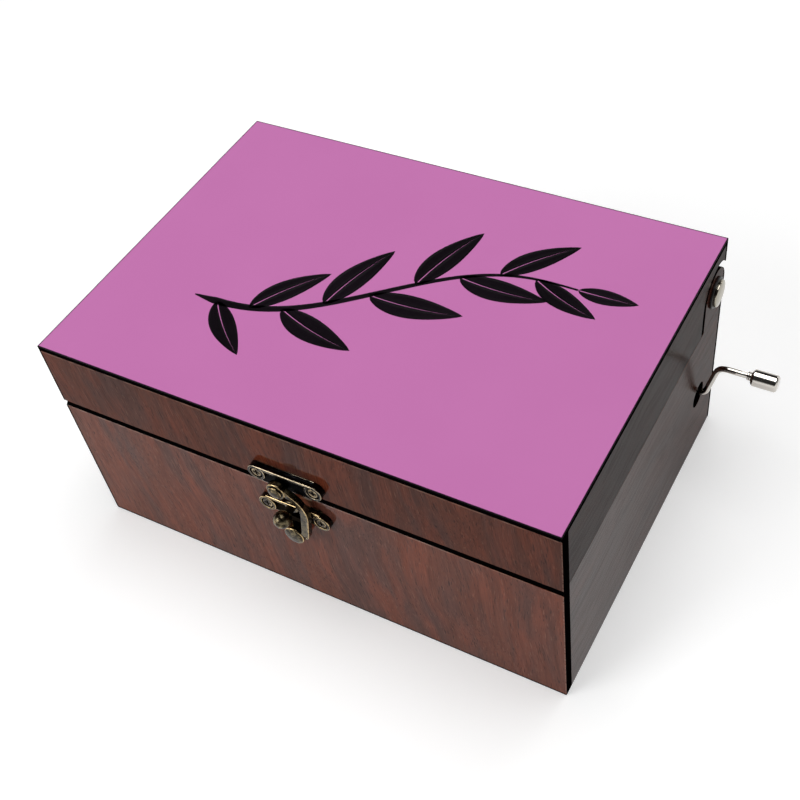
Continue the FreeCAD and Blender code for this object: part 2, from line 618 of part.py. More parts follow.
def drum():
    """The brass drum: a thin shell whose raised pins pluck the comb, one ring of pins per note."""
    body = doc.addObject("Part::Feature", "pinned_drum")
    body.Label = "pinned_drum"
    outer = value("drum_radius")
    length = value(drum_length)
    front = -value("drum_start") - length
    forward = FreeCAD.Vector(0, 1, 0)
    shell = Part.makeCylinder(outer, length, FreeCAD.Vector(0, front, 0), forward)
    bore = Part.makeCylinder(outer - value("drum_wall"), length, FreeCAD.Vector(0, front, 0), forward)
    pins = []
    beats = int(value("drum_beats"))
    pin_length = value("drum_pin_height") + value("drum_pin_sink")
    first_pin = -value("drum_start") - value("first_track")
    for track in range(int(value("tracks"))):
        along = FreeCAD.Vector(0, first_pin - track * value("track_pitch"), 0)
        for beat in tune(track, beats):
            angle = math.radians(360 / beats * (beat + 0.5))
            out = FreeCAD.Vector(math.cos(angle), 0, math.sin(angle))
            foot = out * (outer - value("drum_pin_sink")) + along
            pins.append(Part.makeCylinder(value("drum_pin_radius"), pin_length, foot, out))
    body.Shape = shell.cut(bore).fuse(pins)
    for axis, text in zip("xyz", (wheel_x, crank_y, drum_z)):
        body.setExpression("Placement.Base." + axis, bound(text))
    sub_parts.append(body)
    doc.recompute()


def drum_caps():
    """The two end discs that seat the drum on its shaft."""
    body = new_body("drum_end_caps", (wheel_x, crank_y, drum_z))
    bore = "drum_radius - drum_wall"
    cylinder(body, "y", ("0", "-drum_start - drum_cap", "0"), "drum_cap", bore)
    spacer = "(drum_start - wheel_thickness / 2)"
    cylinder(body, "y", ("0", "-drum_start", "0"), spacer, "wheel_hub_radius")
    front = "-" + drum_front
    cylinder(body, "y", ("0", front, "0"), "drum_cap", bore)
    cylinder(body, "y", ("0", front + " - drum_cap", "0"), "drum_cap", "wheel_hub_radius")
    cylinder(body, "y", ("0", front + " - drum_cap", "0"), "box_depth", "shaft_radius", cut=True)


def drum_shaft():
    body = new_body("drum_shaft", (wheel_x, crank_y, drum_z))
    front = "(%s + bracket_thickness + bush_flange)" % front_plate_back
    back = "(rear_plate_start + bracket_thickness + bush_flange)"
    cylinder(body, "y", ("0", "-" + front, "0"), "%s + %s" % (front, back), "shaft_radius")


def comb():
    """The tuned steel comb: one tooth for each ring of pins, long for bass, short for treble."""
    body = new_body("tuned_comb", (wheel_x, crank_y, drum_z))
    tip = "-" + comb_tip
    along = ("%s - %s" % (comb_middle, comb_half_width), "%s + %s" % (comb_middle, comb_half_width))
    block(body, ("-" + comb_heel, tip), along, ("-comb_thickness / 2", "comb_thickness / 2"))
    slots = sketch_on(body, "XY_Plane", "-comb_thickness")
    for number in range(1, int(value("tracks"))):
        centre = "(%s - %s + track_pitch * %d)" % (comb_middle, comb_half_width, number)
        share = number / value("tracks")
        reach = "(bass_tooth + (treble_tooth - bass_tooth) * %.4f)" % share
        rectangle(slots, "%s - %s" % (tip, reach), "%s + cut_margin" % tip,
                  "%s - comb_slot / 2" % centre, "%s + comb_slot / 2" % centre)
    pocket(body, slots, backwards=True, length="2 * comb_thickness")
    for place in comb_screw_places:
        cylinder(body, "z", (comb_screw_row, place, "-comb_thickness"), "2 * comb_thickness",
                 "comb_screw_radius", cut=True)


def comb_block():
    """The cast block that holds the comb level with the drum's axis."""
    body = new_body("comb_block", (wheel_x, crank_y, drum_z))
    heel = "-" + comb_heel
    low = "(%s - %s)" % (bed_top, drum_z)
    half = "(%s + comb_block_overhang)" % comb_half_width
    along = ("%s - %s" % (comb_middle, half), "%s + %s" % (comb_middle, half))
    block(body, (heel, heel + " + comb_block_length"), along, (low, "-comb_thickness / 2"))
    for place in comb_screw_places:
        cylinder(body, "z", (comb_screw_row, place, "-comb_screw_length + comb_thickness / 2"),
                 "comb_screw_length", "comb_screw_radius", cut=True)


def bent_path(body, start, corner_low, corner_high, end):
    """A centre line in the XZ plane: three straight runs joined by two tangent bends."""
    path = sketch_on(body, "XZ_Plane")
    corners = (start, corner_low, corner_high, end)
    points = [FreeCAD.Vector(value(across), value(up), 0) for across, up in corners]
    radii = ("low_bend_radius", "top_bend_radius")
    cuts = []
    for corner, radius in zip((1, 2), radii):
        back = (points[corner - 1] - points[corner]).normalize()
        ahead = (points[corner + 1] - points[corner]).normalize()
        half_turn = (math.pi - back.getAngle(ahead)) / 2
        reach = value(radius) * math.tan(half_turn)
        first = points[corner] + back * reach
        last = points[corner] + ahead * reach
        middle_way = (back + ahead).normalize()
        centre = points[corner] + middle_way * (value(radius) / math.cos(half_turn))
        middle = centre - middle_way * value(radius)
        cuts.append((first, middle, last))
    line_a = path.addGeometry(Part.LineSegment(points[0], cuts[0][0]), False)
    bend_a = path.addGeometry(Part.ArcOfCircle(*cuts[0]), False)
    line_b = path.addGeometry(Part.LineSegment(cuts[0][2], cuts[1][0]), False)
    bend_b = path.addGeometry(Part.ArcOfCircle(*cuts[1]), False)
    line_c = path.addGeometry(Part.LineSegment(cuts[1][2], points[3]), False)
    guide_low = path.addGeometry(Part.Point(points[1]), True)
    guide_high = path.addGeometry(Part.Point(points[2]), True)

    def near_end(arc, point):
        ends = [path.getPoint(arc, 1), path.getPoint(arc, 2)]
        return 1 if ends[0].distanceToPoint(point) < ends[1].distanceToPoint(point) else 2

    joints = [(line_a, 2, bend_a, cuts[0][0]), (line_b, 1, bend_a, cuts[0][2]),
              (line_b, 2, bend_b, cuts[1][0]), (line_c, 1, bend_b, cuts[1][2])]
    for line, line_end, arc, point in joints:
        path.addConstraint(Sketcher.Constraint("Tangent", line, line_end, arc, near_end(arc, point)))
    for arc, radius in ((bend_a, "low_bend_radius"), (bend_b, "top_bend_radius")):
        index = path.addConstraint(Sketcher.Constraint("Radius", arc, value(radius)))
        path.setExpression("Constraints[%d]" % index, bound(radius))
    for guide, lines in ((guide_low, (line_a, line_b)), (guide_high, (line_b, line_c))):
        for line in lines:
            path.addConstraint(Sketcher.Constraint("PointOnObject", guide, 1, line))
    fixed = ((line_a, 1, start), (guide_low, 1, corner_low), (guide_high, 1, corner_high), (line_c, 2, end))
    for geometry, vertex, (across, up) in fixed:
        fix(path, "DistanceX", geometry, vertex, across)
        fix(path, "DistanceY", geometry, vertex, up)
    return path


handle_reach = "(knob_start + knob_length - knob_end_wall)"
rod_start = "(-worm_half_length - bearing_play - bearing_ear_thickness - bush_flange - rod_tail)"
wall_reach = "(wall + wheel_inset)"


def crank_rod():
    """One bent wire: the worm's axle, out through the wall, up the arm and along the handle."""
    body = new_body("crank_rod", (wheel_x, crank_y, crank_height))
    low = "(%s + first_bend_out)" % wall_reach
    path = bent_path(body, (rod_start, "0"), (low, "0"), (low + " + arm_lean", "arm_rise"),
                     ("%s + %s" % (wall_reach, handle_reach), "arm_rise"))
    profile = sketch_on(body, "YZ_Plane", rod_start)
    circle(profile, "0", "0", "rod_radius")
    doc.recompute()
    wire = body.newObject("PartDesign::AdditivePipe", "crank_rod_wire")
    wire.Profile = profile
    wire.Spine = path
    body.Tip = wire
    doc.recompute()


def crank_collar():
    """The small collar on the handle that the knob runs against."""
    body = new_body("crank_collar", (wheel_x, crank_y, "%s + arm_rise" % crank_height))
    start = wall_reach + " + knob_start - collar_gap - collar_length"
    cylinder(body, "x", (start, "0", "0"), "collar_length", "collar_radius")
    cylinder(body, "x", (start, "0", "0"), "collar_length", "rod_radius", cut=True)


def knob():
    """The round knob that spins on the end of the crank's handle."""
    body = new_body("crank_knob", (wheel_x, crank_y, "%s + arm_rise" % crank_height))
    start = wall_reach + " + knob_start"
    cylinder(body, "x", (start, "0", "0"), "knob_length", "knob_radius")
    chamfer(body, "knob_chamfer", x=value(start))
    chamfer(body, "knob_chamfer", x=value(start + " + knob_length"))
    bore = "%s - knob_start + rod_clearance" % handle_reach
    cylinder(body, "x", (start, "0", "0"), bore, "rod_radius + rod_clearance", cut=True)


def catch_screw_group(label, spread, height, depth):
    """The two small screws of one catch plate, sunk in its round lobes."""
    body = new_body(label)
    seat = "(%s - %s + lobe_recess)" % (front_face, depth)
    for sign in ("-", "+"):
        across = "(catch_offset %s %s)" % (sign, spread)
        cylinder(body, "y", (across, seat + " - catch_screw_head_height", height),
                 "catch_screw_head_height", "catch_screw_head")
        cylinder(body, "y", (across, seat, height), "catch_screw_length", "catch_screw_radius")
        face = seat + " - catch_screw_head_height"
        reach = (face, face + " + screw_slot_depth")
        half = "catch_screw_head * screw_slot_share"
        narrow = "screw_slot / 2"
        block(body, ("%s - %s" % (across, half), "%s + %s" % (across, half)), reach,
              ("%s - %s" % (height, narrow), "%s + %s" % (height, narrow)), cut=True)
        block(body, ("%s - %s" % (across, narrow), "%s + %s" % (across, narrow)), reach,
              ("%s - %s" % (height, half), "%s + %s" % (height, half)), cut=True)


def lobes(body, spread, height, depth):
    """The round screw lobes at both ends of a catch plate, each a cup with a screw hole."""
    face = "%s - %s" % (front_face, depth)
    for sign in ("-", "+"):
        across = "(catch_offset %s %s)" % (sign, spread)
        cylinder(body, "y", (across, face, height), depth, lobe_radius)
    for sign in ("-", "+"):
        across = "(catch_offset %s %s)" % (sign, spread)
        cylinder(body, "y", (across, face, height), "lobe_recess", "catch_screw_head + catch_screw_room",
                 cut=True)
        cylinder(body, "y", (across, face, height), depth, "catch_screw_radius", cut=True)


def lid_catch_plate():
    """The catch plate on the lid: a sheet with a top rim, two lobes and the hook's seat."""
    body = new_body("catch_lid_plate")
    left = "(catch_offset - lid_lobe_spread)"
    right = "(catch_offset + lid_lobe_spread)"
    top = "(%s + %s)" % (lid_plate_height, lobe_radius)
    face = front_face + " - lid_plate_depth"
    seat = ("catch_offset - hook_pivot_left", face, hook_pivot_height)
    block(body, (left, right), (front_face + " - plate_sheet", front_face),
          ("%s - lid_plate_drop" % lid_plate_height, top))
    block(body, (left, right), (face, front_face), (top + " - rim_thickness", top))
    cylinder(body, "y", seat, "lid_plate_depth", "rivet_head_radius")
    lobes(body, "lid_lobe_spread", lid_plate_height, "lid_plate_depth")
    cylinder(body, "y", seat, "lid_plate_depth", "rivet_radius", cut=True)


def base_catch_plate():
    """The catch plate on the base: top rim, two lobes, the ball's seat and a round boss below it."""
    body = new_body("catch_base_plate")
    left = "(catch_offset - base_lobe_spread)"
    right = "(catch_offset + base_lobe_spread)"
    top = "(%s + base_plate_top)" % base_plate_height
    face = front_face + " - base_plate_depth"
    seat = (ball_across, face, ball_height)
    block(body, (left, right), (front_face + " - plate_sheet", front_face),
          ("%s - base_plate_drop" % base_plate_height, top))
    block(body, (left, right), (face, front_face), (top + " - rim_thickness", top))
    cylinder(body, "y", seat, "base_plate_depth", "ball_seat_radius")
    block(body, (ball_across + " - ball_seat_radius", ball_across + " + ball_seat_radius"),
          (front_face + " - plate_sheet", front_face), (rest_height, base_plate_height))
    rest = (ball_across, front_face + " - rest_depth", rest_height)
    cylinder(body, "y", rest, "rest_depth", "rest_radius")
    outwards = FreeCAD.Rotation(FreeCAD.Vector(0, 0, 1), FreeCAD.Vector(0, -1, 0))
    dome(body, outwards, rest, "rest_radius", "rest_dome")
    lobes(body, "base_lobe_spread", base_plate_height, "base_plate_depth")
    cylinder(body, "y", seat, "base_plate_depth", "neck_radius", cut=True)


def ball_stud():
    """The ball-headed stud riveted into the base plate, that the hook swings round."""
    body = new_body("catch_ball_stud", (ball_across, front_face, ball_height))
    ball(body, ("0", "-ball_out", "0"), "ball_radius")
    cylinder(body, "y", ("0", "-ball_out", "0"), "ball_out", "neck_radius")


hook_tip = ("(hook_pivot_left - ball_left + ball_radius + hook_tip_gap + hook_width / 2)",
            "(%s + hook_tip_rise - %s)" % (rest_height, hook_pivot_height))


def hook_path(body):
    """The hook's centre line: a wide sweep to the right, then a straight run down past the ball."""
    path = sketch_on(body, "XZ_Plane")
    sweep = value("hook_sweep_radius")
    centre = FreeCAD.Vector(0, value("hook_rise") - sweep, 0)
    tip = FreeCAD.Vector(value(hook_tip[0]), value(hook_tip[1]), 0)
    to_tip = tip - centre
    meeting = math.atan2(to_tip.y, to_tip.x) + math.acos(sweep / to_tip.Length)
    circle_line = Part.Circle(centre, FreeCAD.Vector(0, 0, 1), sweep)
    bend = path.addGeometry(Part.ArcOfCircle(circle_line, meeting, math.pi / 2), False)
    leave = centre + FreeCAD.Vector(math.cos(meeting), math.sin(meeting), 0) * sweep
    run = path.addGeometry(Part.LineSegment(leave, tip), False)
    fix(path, "DistanceX", bend, 3, "0")
    fix(path, "DistanceY", bend, 3, "hook_rise - hook_sweep_radius")
    fix(path, "DistanceX", bend, 2, "0")
    path.addConstraint(Sketcher.Constraint("Tangent", run, 1, bend, 1))
    index = path.addConstraint(Sketcher.Constraint("Radius", bend, sweep))
    path.setExpression("Constraints[%d]" % index, bound("hook_sweep_radius"))
    fix(path, "DistanceX", run, 2, hook_tip[0])
    fix(path, "DistanceY", run, 2, hook_tip[1])
    doc.recompute()
    return path


def hook():
    """The swing hook: an eye round the rivet and a flat strap that sweeps past the ball."""
    back = front_face + " - lid_plate_depth - hook_gap"
    body = new_body("catch_hook", ("catch_offset - hook_pivot_left", back, hook_pivot_height))
    path = hook_path(body)
    strap = sketch_on(body, "YZ_Plane")
    rectangle(strap, "-hook_thickness", "0", "hook_rise - hook_width / 2", "hook_rise + hook_width / 2")
    doc.recompute()
    sweep = body.newObject("PartDesign::AdditivePipe", "catch_hook_strap")
    sweep.Profile = strap
    sweep.Spine = path
    body.Tip = sweep
    doc.recompute()
    cylinder(body, "y", (hook_tip[0], "-hook_thickness", hook_tip[1]), "hook_thickness", "hook_width / 2")
    cylinder(body, "y", ("0", "-hook_thickness", "0"), "hook_thickness", "hook_eye_radius")
    cylinder(body, "y", ("0", "-hook_thickness", "0"), "hook_thickness", "rivet_radius + rivet_clearance",
             cut=True)


def hook_rivet():
    """The domed rivet that the hook turns on."""
    body = new_body("catch_hook_rivet", ("catch_offset - hook_pivot_left", front_face, hook_pivot_height))
    head_seat = "(lid_plate_depth + hook_thickness + 2 * hook_gap)"
    cylinder(body, "y", ("0", "-" + head_seat, "0"), head_seat, "rivet_radius")
    outwards = FreeCAD.Rotation(FreeCAD.Vector(0, 0, 1), FreeCAD.Vector(0, -1, 0))
    dome(body, outwards, ("0", "-" + head_seat, "0"), "rivet_head_radius", "rivet_head_height")


def build():
    base_floor()
    base_front()
    base_back()
    base_side("base_left_panel", "-1", False)
    base_side("base_right_panel", "1", True)
    lid_front()
    lid_side("lid_left_rail", "-1")
    lid_side("lid_right_rail", "1")
    lid_spine()
    lid_board()
    lid_print()
    hinge_pins()
    hinge_washers()
    bedplate()
    rear_bracket()
    front_bracket()
    drum_bushes()
    crank_bushes()
    upright_screws("bed_screws", bed_screws, "bed_screw_sink", "bed_screw_head", "bed_screw_head_height",
                   "bed_screw_radius", "bed_screw_length", head_up=False)
    upright_screws("bracket_screws", bracket_screws, "%s + foot_thickness" % bed_top, "small_screw_head",
                   "small_screw_head_height", "small_screw_radius", "small_screw_length")
    comb_screws = [("%s + %s" % (wheel_x, comb_screw_row), "%s + %s" % (crank_y, place))
                   for place in comb_screw_places]
    upright_screws("comb_screws", comb_screws, "%s + comb_thickness / 2" % drum_z, "comb_screw_head",
                   "comb_screw_head_height", "comb_screw_radius", "comb_screw_length")
    comb_block()
    comb()
    drum()
    drum_caps()
    drum_shaft()
    gear()
    worm()
    crank_rod()
    crank_collar()
    knob()
    lid_catch_plate()
    base_catch_plate()
    catch_screw_group("lid_catch_screws", "lid_lobe_spread", lid_plate_height, "lid_plate_depth")
    catch_screw_group("base_catch_screws", "base_lobe_spread", base_plate_height, "base_plate_depth")
    ball_stud()
    hook()
    hook_rivet()


def check_and_write():
    """Stop on any failed object, then write one file for each sub-part."""
    doc.recompute()
    for item in doc.Objects:
        if "Invalid" in item.State or "Error" in item.State:
            raise RuntimeError("%s is %s" % (item.Name, item.State))
    for part in sub_parts:
        if part.Shape.isNull() or not part.Shape.isValid() or not part.Shape.Solids:
            raise RuntimeError(part.Label + " has no valid solid")
    os.makedirs("parts", exist_ok=True)
    for part in sub_parts:
        part.Shape.exportStep("parts/%s.step" % part.Label)
        print("%-24s solids %2d  volume %9.2f" % (part.Label, len(part.Shape.Solids), part.Shape.Volume))


build()
check_and_write()
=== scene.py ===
import json
import math
import bmesh
import bpy
import numpy as np
from mathutils import Matrix, Vector


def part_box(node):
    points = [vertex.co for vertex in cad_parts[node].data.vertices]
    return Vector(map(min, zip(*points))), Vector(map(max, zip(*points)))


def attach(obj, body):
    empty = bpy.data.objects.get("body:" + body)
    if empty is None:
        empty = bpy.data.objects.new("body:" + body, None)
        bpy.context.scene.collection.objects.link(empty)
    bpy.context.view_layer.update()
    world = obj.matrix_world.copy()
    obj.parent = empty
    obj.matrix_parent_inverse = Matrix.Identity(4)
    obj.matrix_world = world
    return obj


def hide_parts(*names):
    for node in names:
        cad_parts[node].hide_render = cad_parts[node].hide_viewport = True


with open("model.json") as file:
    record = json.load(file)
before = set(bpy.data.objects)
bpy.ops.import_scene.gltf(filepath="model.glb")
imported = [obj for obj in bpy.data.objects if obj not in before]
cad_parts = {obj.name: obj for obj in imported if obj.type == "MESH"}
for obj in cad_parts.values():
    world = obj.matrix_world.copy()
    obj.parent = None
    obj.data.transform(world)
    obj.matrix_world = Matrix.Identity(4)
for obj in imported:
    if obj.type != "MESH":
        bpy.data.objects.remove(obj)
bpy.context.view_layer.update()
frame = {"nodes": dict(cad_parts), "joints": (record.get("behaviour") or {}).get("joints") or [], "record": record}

# Dresses the music box in the CAD frame. Lengths are in mm, but on the stage they are in metres.

mm, perMetre = 0.001, 1000
nodes = frame["nodes"]
owners = {node: body for body, members in frame["record"]["behaviour"]["bodies"].items() for node in members}
slotNames = {part["node"]: part["material_slot"] for part in frame["record"]["subparts"]}
pivots = {joint["name"]: np.array(joint["pos_m"]) * perMetre for joint in frame["joints"]}
print("frame loaded:", len(nodes), "nodes")


def corners(node):  # a CAD node's lowest and highest corner, in mm
    low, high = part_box(node)
    return np.array(low) * perMetre, np.array(high) * perMetre


def screenColour(red, green, blue):  # a colour as a screen shows it, 0 to 255, made linear
    shown = np.array([red, green, blue]) / 255
    linear = np.where(shown <= 0.04045, shown / 12.92, ((shown + 0.055) / 1.055) ** 2.4)
    return (*(float(part) for part in linear), 1.0)


# Nodes: short names for the ones that every material uses

def put(tree, socket, value):
    if isinstance(value, bpy.types.NodeSocket):
        tree.links.new(value, socket)
    else:
        socket.default_value = value


def addNode(tree, kind, inputs=None, **settings):
    made = tree.nodes.new("ShaderNode" + kind)
    for name, value in settings.items():
        setattr(made, name, value)
    for name, value in (inputs or {}).items():
        put(tree, made.inputs[name], value)
    return made


def maths(tree, operation, *values, clamp=False):
    made = addNode(tree, "Math", operation=operation, use_clamp=clamp)
    for socket, value in zip(made.inputs, values):
        put(tree, socket, value)
    return made.outputs[0]


def plus(tree, first, second, clamp=False):
    return maths(tree, "ADD", first, second, clamp=clamp)


def minus(tree, first, second, clamp=False):
    return maths(tree, "SUBTRACT", first, second, clamp=clamp)


def times(tree, first, second):
    return maths(tree, "MULTIPLY", first, second)


def lower(tree, first, second):
    return maths(tree, "MINIMUM", first, second)


def higher(tree, first, second):
    return maths(tree, "MAXIMUM", first, second)


def sizeOf(tree, value):
    return maths(tree, "ABSOLUTE", value)


def vectorMaths(tree, operation, first, second):
    made = addNode(tree, "VectorMath", operation=operation)
    put(tree, made.inputs[0], first)
    put(tree, made.inputs[1], second)
    return made.outputs[0]


def soften(tree, value, start, end, low=0.0, high=1.0):  # a smooth step from low to high
    made = addNode(tree, "MapRange", {"Value": value, "From Min": start, "From Max": end,
                                      "To Min": low, "To Max": high}, interpolation_type="SMOOTHSTEP")
    return made.outputs["Result"]


def between(tree, share, low, high):  # eases from low to high as the share goes from 0 to 1
    return soften(tree, share, 0.0, 1.0, low, high)


def blendColour(tree, share, first, second):
    made = addNode(tree, "Mix", data_type="RGBA")
    for index, value in ((0, share), (6, first), (7, second)):
        put(tree, made.inputs[index], value)
    return made.outputs[2]


def noise(tree, vector, stretch, detail, rough, shift=0.0):
    scaled = addNode(tree, "Mapping", {"Vector": vector, "Scale": stretch, "Location": (shift,) * 3})
    made = addNode(tree, "TexNoise", {"Vector": scaled.outputs[0], "Scale": 1.0, "Detail": detail,
                                      "Roughness": rough})
    return made.outputs["Fac"]


def millimetres(tree, turn=(0, 0, 0)):  # the object's own coordinates in mm
    place = addNode(tree, "TexCoord").outputs["Object"]
    return addNode(tree, "Mapping", {"Vector": place, "Scale": (perMetre,) * 3, "Rotation": turn}).outputs[0]


def splitAxes(tree, vector):
    return addNode(tree, "SeparateXYZ", {"Vector": vector}).outputs


def grey(tree, value):
    return addNode(tree, "CombineColor", {"Red": value, "Green": value, "Blue": value}).outputs[0]


def pieceWear(tree):  # the wear that addPiece stores at each point
    return addNode(tree, "Attribute", attribute_name="wear").outputs["Fac"]


def newGroup(name, inputs, outputs):  # an input has a first value, or None for a vector; outputs are values
    tree = bpy.data.node_groups.new(name, "ShaderNodeTree")
    for label, value in inputs.items():
        kind = "NodeSocketVector" if value is None else "NodeSocketFloat"
        socket = tree.interface.new_socket(label, in_out="INPUT", socket_type=kind)
        if value is not None:
            socket.default_value = value
    for label in outputs:
        tree.interface.new_socket(label, in_out="OUTPUT", socket_type="NodeSocketFloat")
    return tree, tree.nodes.new("NodeGroupInput").outputs, tree.nodes.new("NodeGroupOutput").inputs


def placeGroup(tree, group, inputs):
    made = tree.nodes.new("ShaderNodeGroup")
    made.node_tree = group
    for name, value in inputs.items():
        put(tree, made.inputs[name], value)
    return made.outputs


def newMaterial(name, **constants):
    material = bpy.data.materials.new(name)
    material.use_nodes = True
    surface = material.node_tree.nodes["Principled BSDF"]
    for label, value in constants.items():
        surface.inputs[label.replace("_", " ")].default_value = value
    return material, material.node_tree, surface.inputs


def finishSurface(tree, surface, colour, rough, height, look):  # the bump's depth is in mm
    put(tree, surface["Base Color"], colour)
    put(tree, surface["Roughness"], rough)
    bump = addNode(tree, "Bump", {"Height": height, "Strength": look["bump"],
                                  "Distance": look["bumpDepth"] * mm})
    put(tree, surface["Normal"], bump.outputs[0])


# Shared effects

# each layer of the grain: how fine it is across and along, and between which levels of its noise it comes up
grainLayers = {
    "Band": dict(across=0.10, along=0.012, detail=2, rough=0.5, shift=0.0, levels=(0.38, 0.62)),
    "Patch": dict(across=0.16, along=0.03, detail=2, rough=0.55, shift=7.3, levels=(0.42, 0.66)),
    "Streak": dict(across=0.85, along=0.035, detail=4, rough=0.6, shift=3.1, levels=(0.38, 0.68)),
    "Fibre": dict(across=3.2, along=0.10, detail=3, rough=0.6, shift=0.0, levels=(0.3, 0.7)),
    "Pore": dict(across=3.4, along=0.22, detail=1, rough=0.4, shift=5.5, levels=(0.62, 0.72)),
    "Fleck": dict(across=3.0, along=0.25, detail=1, rough=0.4, shift=11.7, levels=(0.64, 0.74)),
}
grainLook = {"swayFineness": (0.03, 0.03, 0.02), "sway": (12, 12, 0), "fibreHeight": 0.5,
             "poreLevels": (0.6, 0.7)}


def buildGrain():  # the layers run along Z in mm, and sway sideways with a broad noise
    tree, given, result = newGroup("Veneer grain", {"Vector": None, "Offset": 0.0}, [*grainLayers, "Height"])
    shift = addNode(tree, "CombineXYZ", {"X": given["Offset"], "Y": given["Offset"]}).outputs[0]
    moved = vectorMaths(tree, "ADD", given["Vector"], shift)
    broad = vectorMaths(tree, "MULTIPLY", moved, grainLook["swayFineness"])
    waves = addNode(tree, "TexNoise", {"Vector": broad, "Scale": 1.0, "Detail": 1.0}).outputs["Color"]
    sway = vectorMaths(tree, "MULTIPLY", vectorMaths(tree, "SUBTRACT", waves, (0.5,) * 3), grainLook["sway"])
    line = vectorMaths(tree, "ADD", moved, sway)
    layers = {}
    for label, own in grainLayers.items():
        stretch = (own["across"], own["across"], own["along"])
        layers[label] = noise(tree, line, stretch, own["detail"], own["rough"], own["shift"])
        put(tree, result[label], soften(tree, layers[label], *own["levels"]))
    raised = times(tree, layers["Fibre"], grainLook["fibreHeight"])
    put(tree, result["Height"], minus(tree, raised, soften(tree, layers["Pore"], *grainLook["poreLevels"])))
    return tree


# in mm: from which depth a panel is bare wood inside, from which it is painted, how wide the painted strip
# and the pale line of painted highlight are, and how that line breaks up
zoneLook = {"innerDepth": (5.85, 5.93), "edgeDepth": (0.03, 0.09), "strip": (1.2, 1.45),
            "wornLine": (0.12, 0.4), "breakFineness": (0.25, 0.25, 0.9), "breaks": (0.38, 0.56),
            "farAway": 10.0}


def buildPanelZones():  # sorts a panel's points into veneer, painted edge and inner face by their depth
    far = zoneLook["farAway"]
    tree, given, result = newGroup("Panel zones", {"Depth": 0.0, "Seam": far, "Border": far, "Vector": None},
                                   ["Edge", "Inner", "Line"])
    inner = soften(tree, given["Depth"], *zoneLook["innerDepth"])
    off = soften(tree, given["Depth"], *zoneLook["edgeDepth"])
    painted = higher(tree, off, soften(tree, given["Border"], *zoneLook["strip"], 1.0, 0.0))
    breaks = noise(tree, given["Vector"], zoneLook["breakFineness"], 2, 0.6)
    broken = soften(tree, breaks, *zoneLook["breaks"])
    # a pale line near the seam and the ends: painted highlight, broken up by noise
    near = soften(tree, given["Seam"], *zoneLook["wornLine"], 1.0, 0.0)
    put(tree, result["Inner"], inner)
    put(tree, result["Edge"], minus(tree, painted, inner, clamp=True))
    put(tree, result["Line"], times(tree, times(tree, near, broken), minus(tree, 1.0, off)))
    return tree


tarnishLook = {"broad": 0.6, "fine": 3.2, "unevenness": 1.5, "brightLevels": (0.4, 1.1), "sunkGrain": 0.4,
               "grimeLevels": (0.35, 0.9), "speckleLevels": (0.3, 0.75), "broadHeight": 0.8}


def buildTarnish():  # bright worn edges, dark hollows and a fine cast skin, from the wear it is given, which on some pieces also holds painted highlight and shade
    look = tarnishLook
    tree, given, result = newGroup("Tarnish", {"Vector": None, "Wear": 0.0},
                                   ["Bright", "Grime", "Speckle", "Height"])
    broad = noise(tree, given["Vector"], (look["broad"],) * 3, 3, 0.6)
    fine = noise(tree, given["Vector"], (look["fine"],) * 3, 4, 0.65, 4.2)
    uneven = times(tree, minus(tree, broad, 0.5), look["unevenness"])
    raised = plus(tree, given["Wear"], uneven)
    sunk = plus(tree, times(tree, given["Wear"], -1.0), times(tree, fine, look["sunkGrain"]))
    put(tree, result["Bright"], soften(tree, raised, *look["brightLevels"]))
    put(tree, result["Grime"], soften(tree, sunk, *look["grimeLevels"]))
    put(tree, result["Speckle"], soften(tree, plus(tree, fine, uneven), *look["speckleLevels"]))
    put(tree, result["Height"], plus(tree, fine, times(tree, broad, look["broadHeight"])))
    return tree


hairLook = {"fineness": (14, 0.25, 14), "lineLevels": (0.3, 0.7), "smudge": 0.12,
            "smudgeLevels": (0.35, 0.65)}


def buildBrushed():  # hair lines along Y of a metal, with soft smudges
    tree, given, result = newGroup("Brushed lines", {"Vector": None}, ["Line", "Smudge", "Height"])
    line = noise(tree, given["Vector"], hairLook["fineness"], 3, 0.7)
    smudge = noise(tree, given["Vector"], (hairLook["smudge"],) * 3, 3, 0.55, 2.0)
    put(tree, result["Line"], soften(tree, line, *hairLook["lineLevels"]))
    put(tree, result["Smudge"], soften(tree, smudge, *hairLook["smudgeLevels"]))
    put(tree, result["Height"], line)
    return tree


grain = buildGrain()
panelZones = buildPanelZones()
tarnish = buildTarnish()
brushed = buildBrushed()
print("shared node groups built")


# Wood

quarterTurn = 1.571
# line is the pale colour of the painted highlight along the opening and the ends
wood = {
    "mid": (114, 58, 39), "warm": (138, 64, 37), "cool": (88, 57, 51), "dark": (66, 35, 27),
    "pore": (36, 20, 16), "fleck": (164, 112, 90), "edge": (5, 4, 4), "line": (190, 150, 130),
    "inner": (140, 94, 64), "innerDark": (96, 60, 40),
}

# what each layer of the grain lays over the middle colour, and how strongly
veneerMix = [("Band", 0.75, "cool"), ("Patch", 0.55, "warm"), ("Streak", 0.34, "dark"),
             ("Fibre", 0.42, "dark"), ("Pore", 0.65, "pore"), ("Fleck", 0.22, "fleck")]

# frontThinner and cornerThinner are what the painted strip loses on a front panel and at a wall's front edge;
# line is how strongly the pale line of painted highlight shows
veneerLook = {"line": 0.3, "rough": (0.5, 0.62), "streakGloss": 0.85, "frontGloss": 1.05, "bump": 0.2,
              "bumpDepth": 0.05, "frontThinner": 0.75, "cornerThinner": 0.1, "noSeam": -99}
boardLook = {"streak": 0.7, "pore": 0.6, "paint": (0.05, 0.15), "rough": (0.5, 0.68), "bump": 0.3,
             "bumpDepth": 0.06}
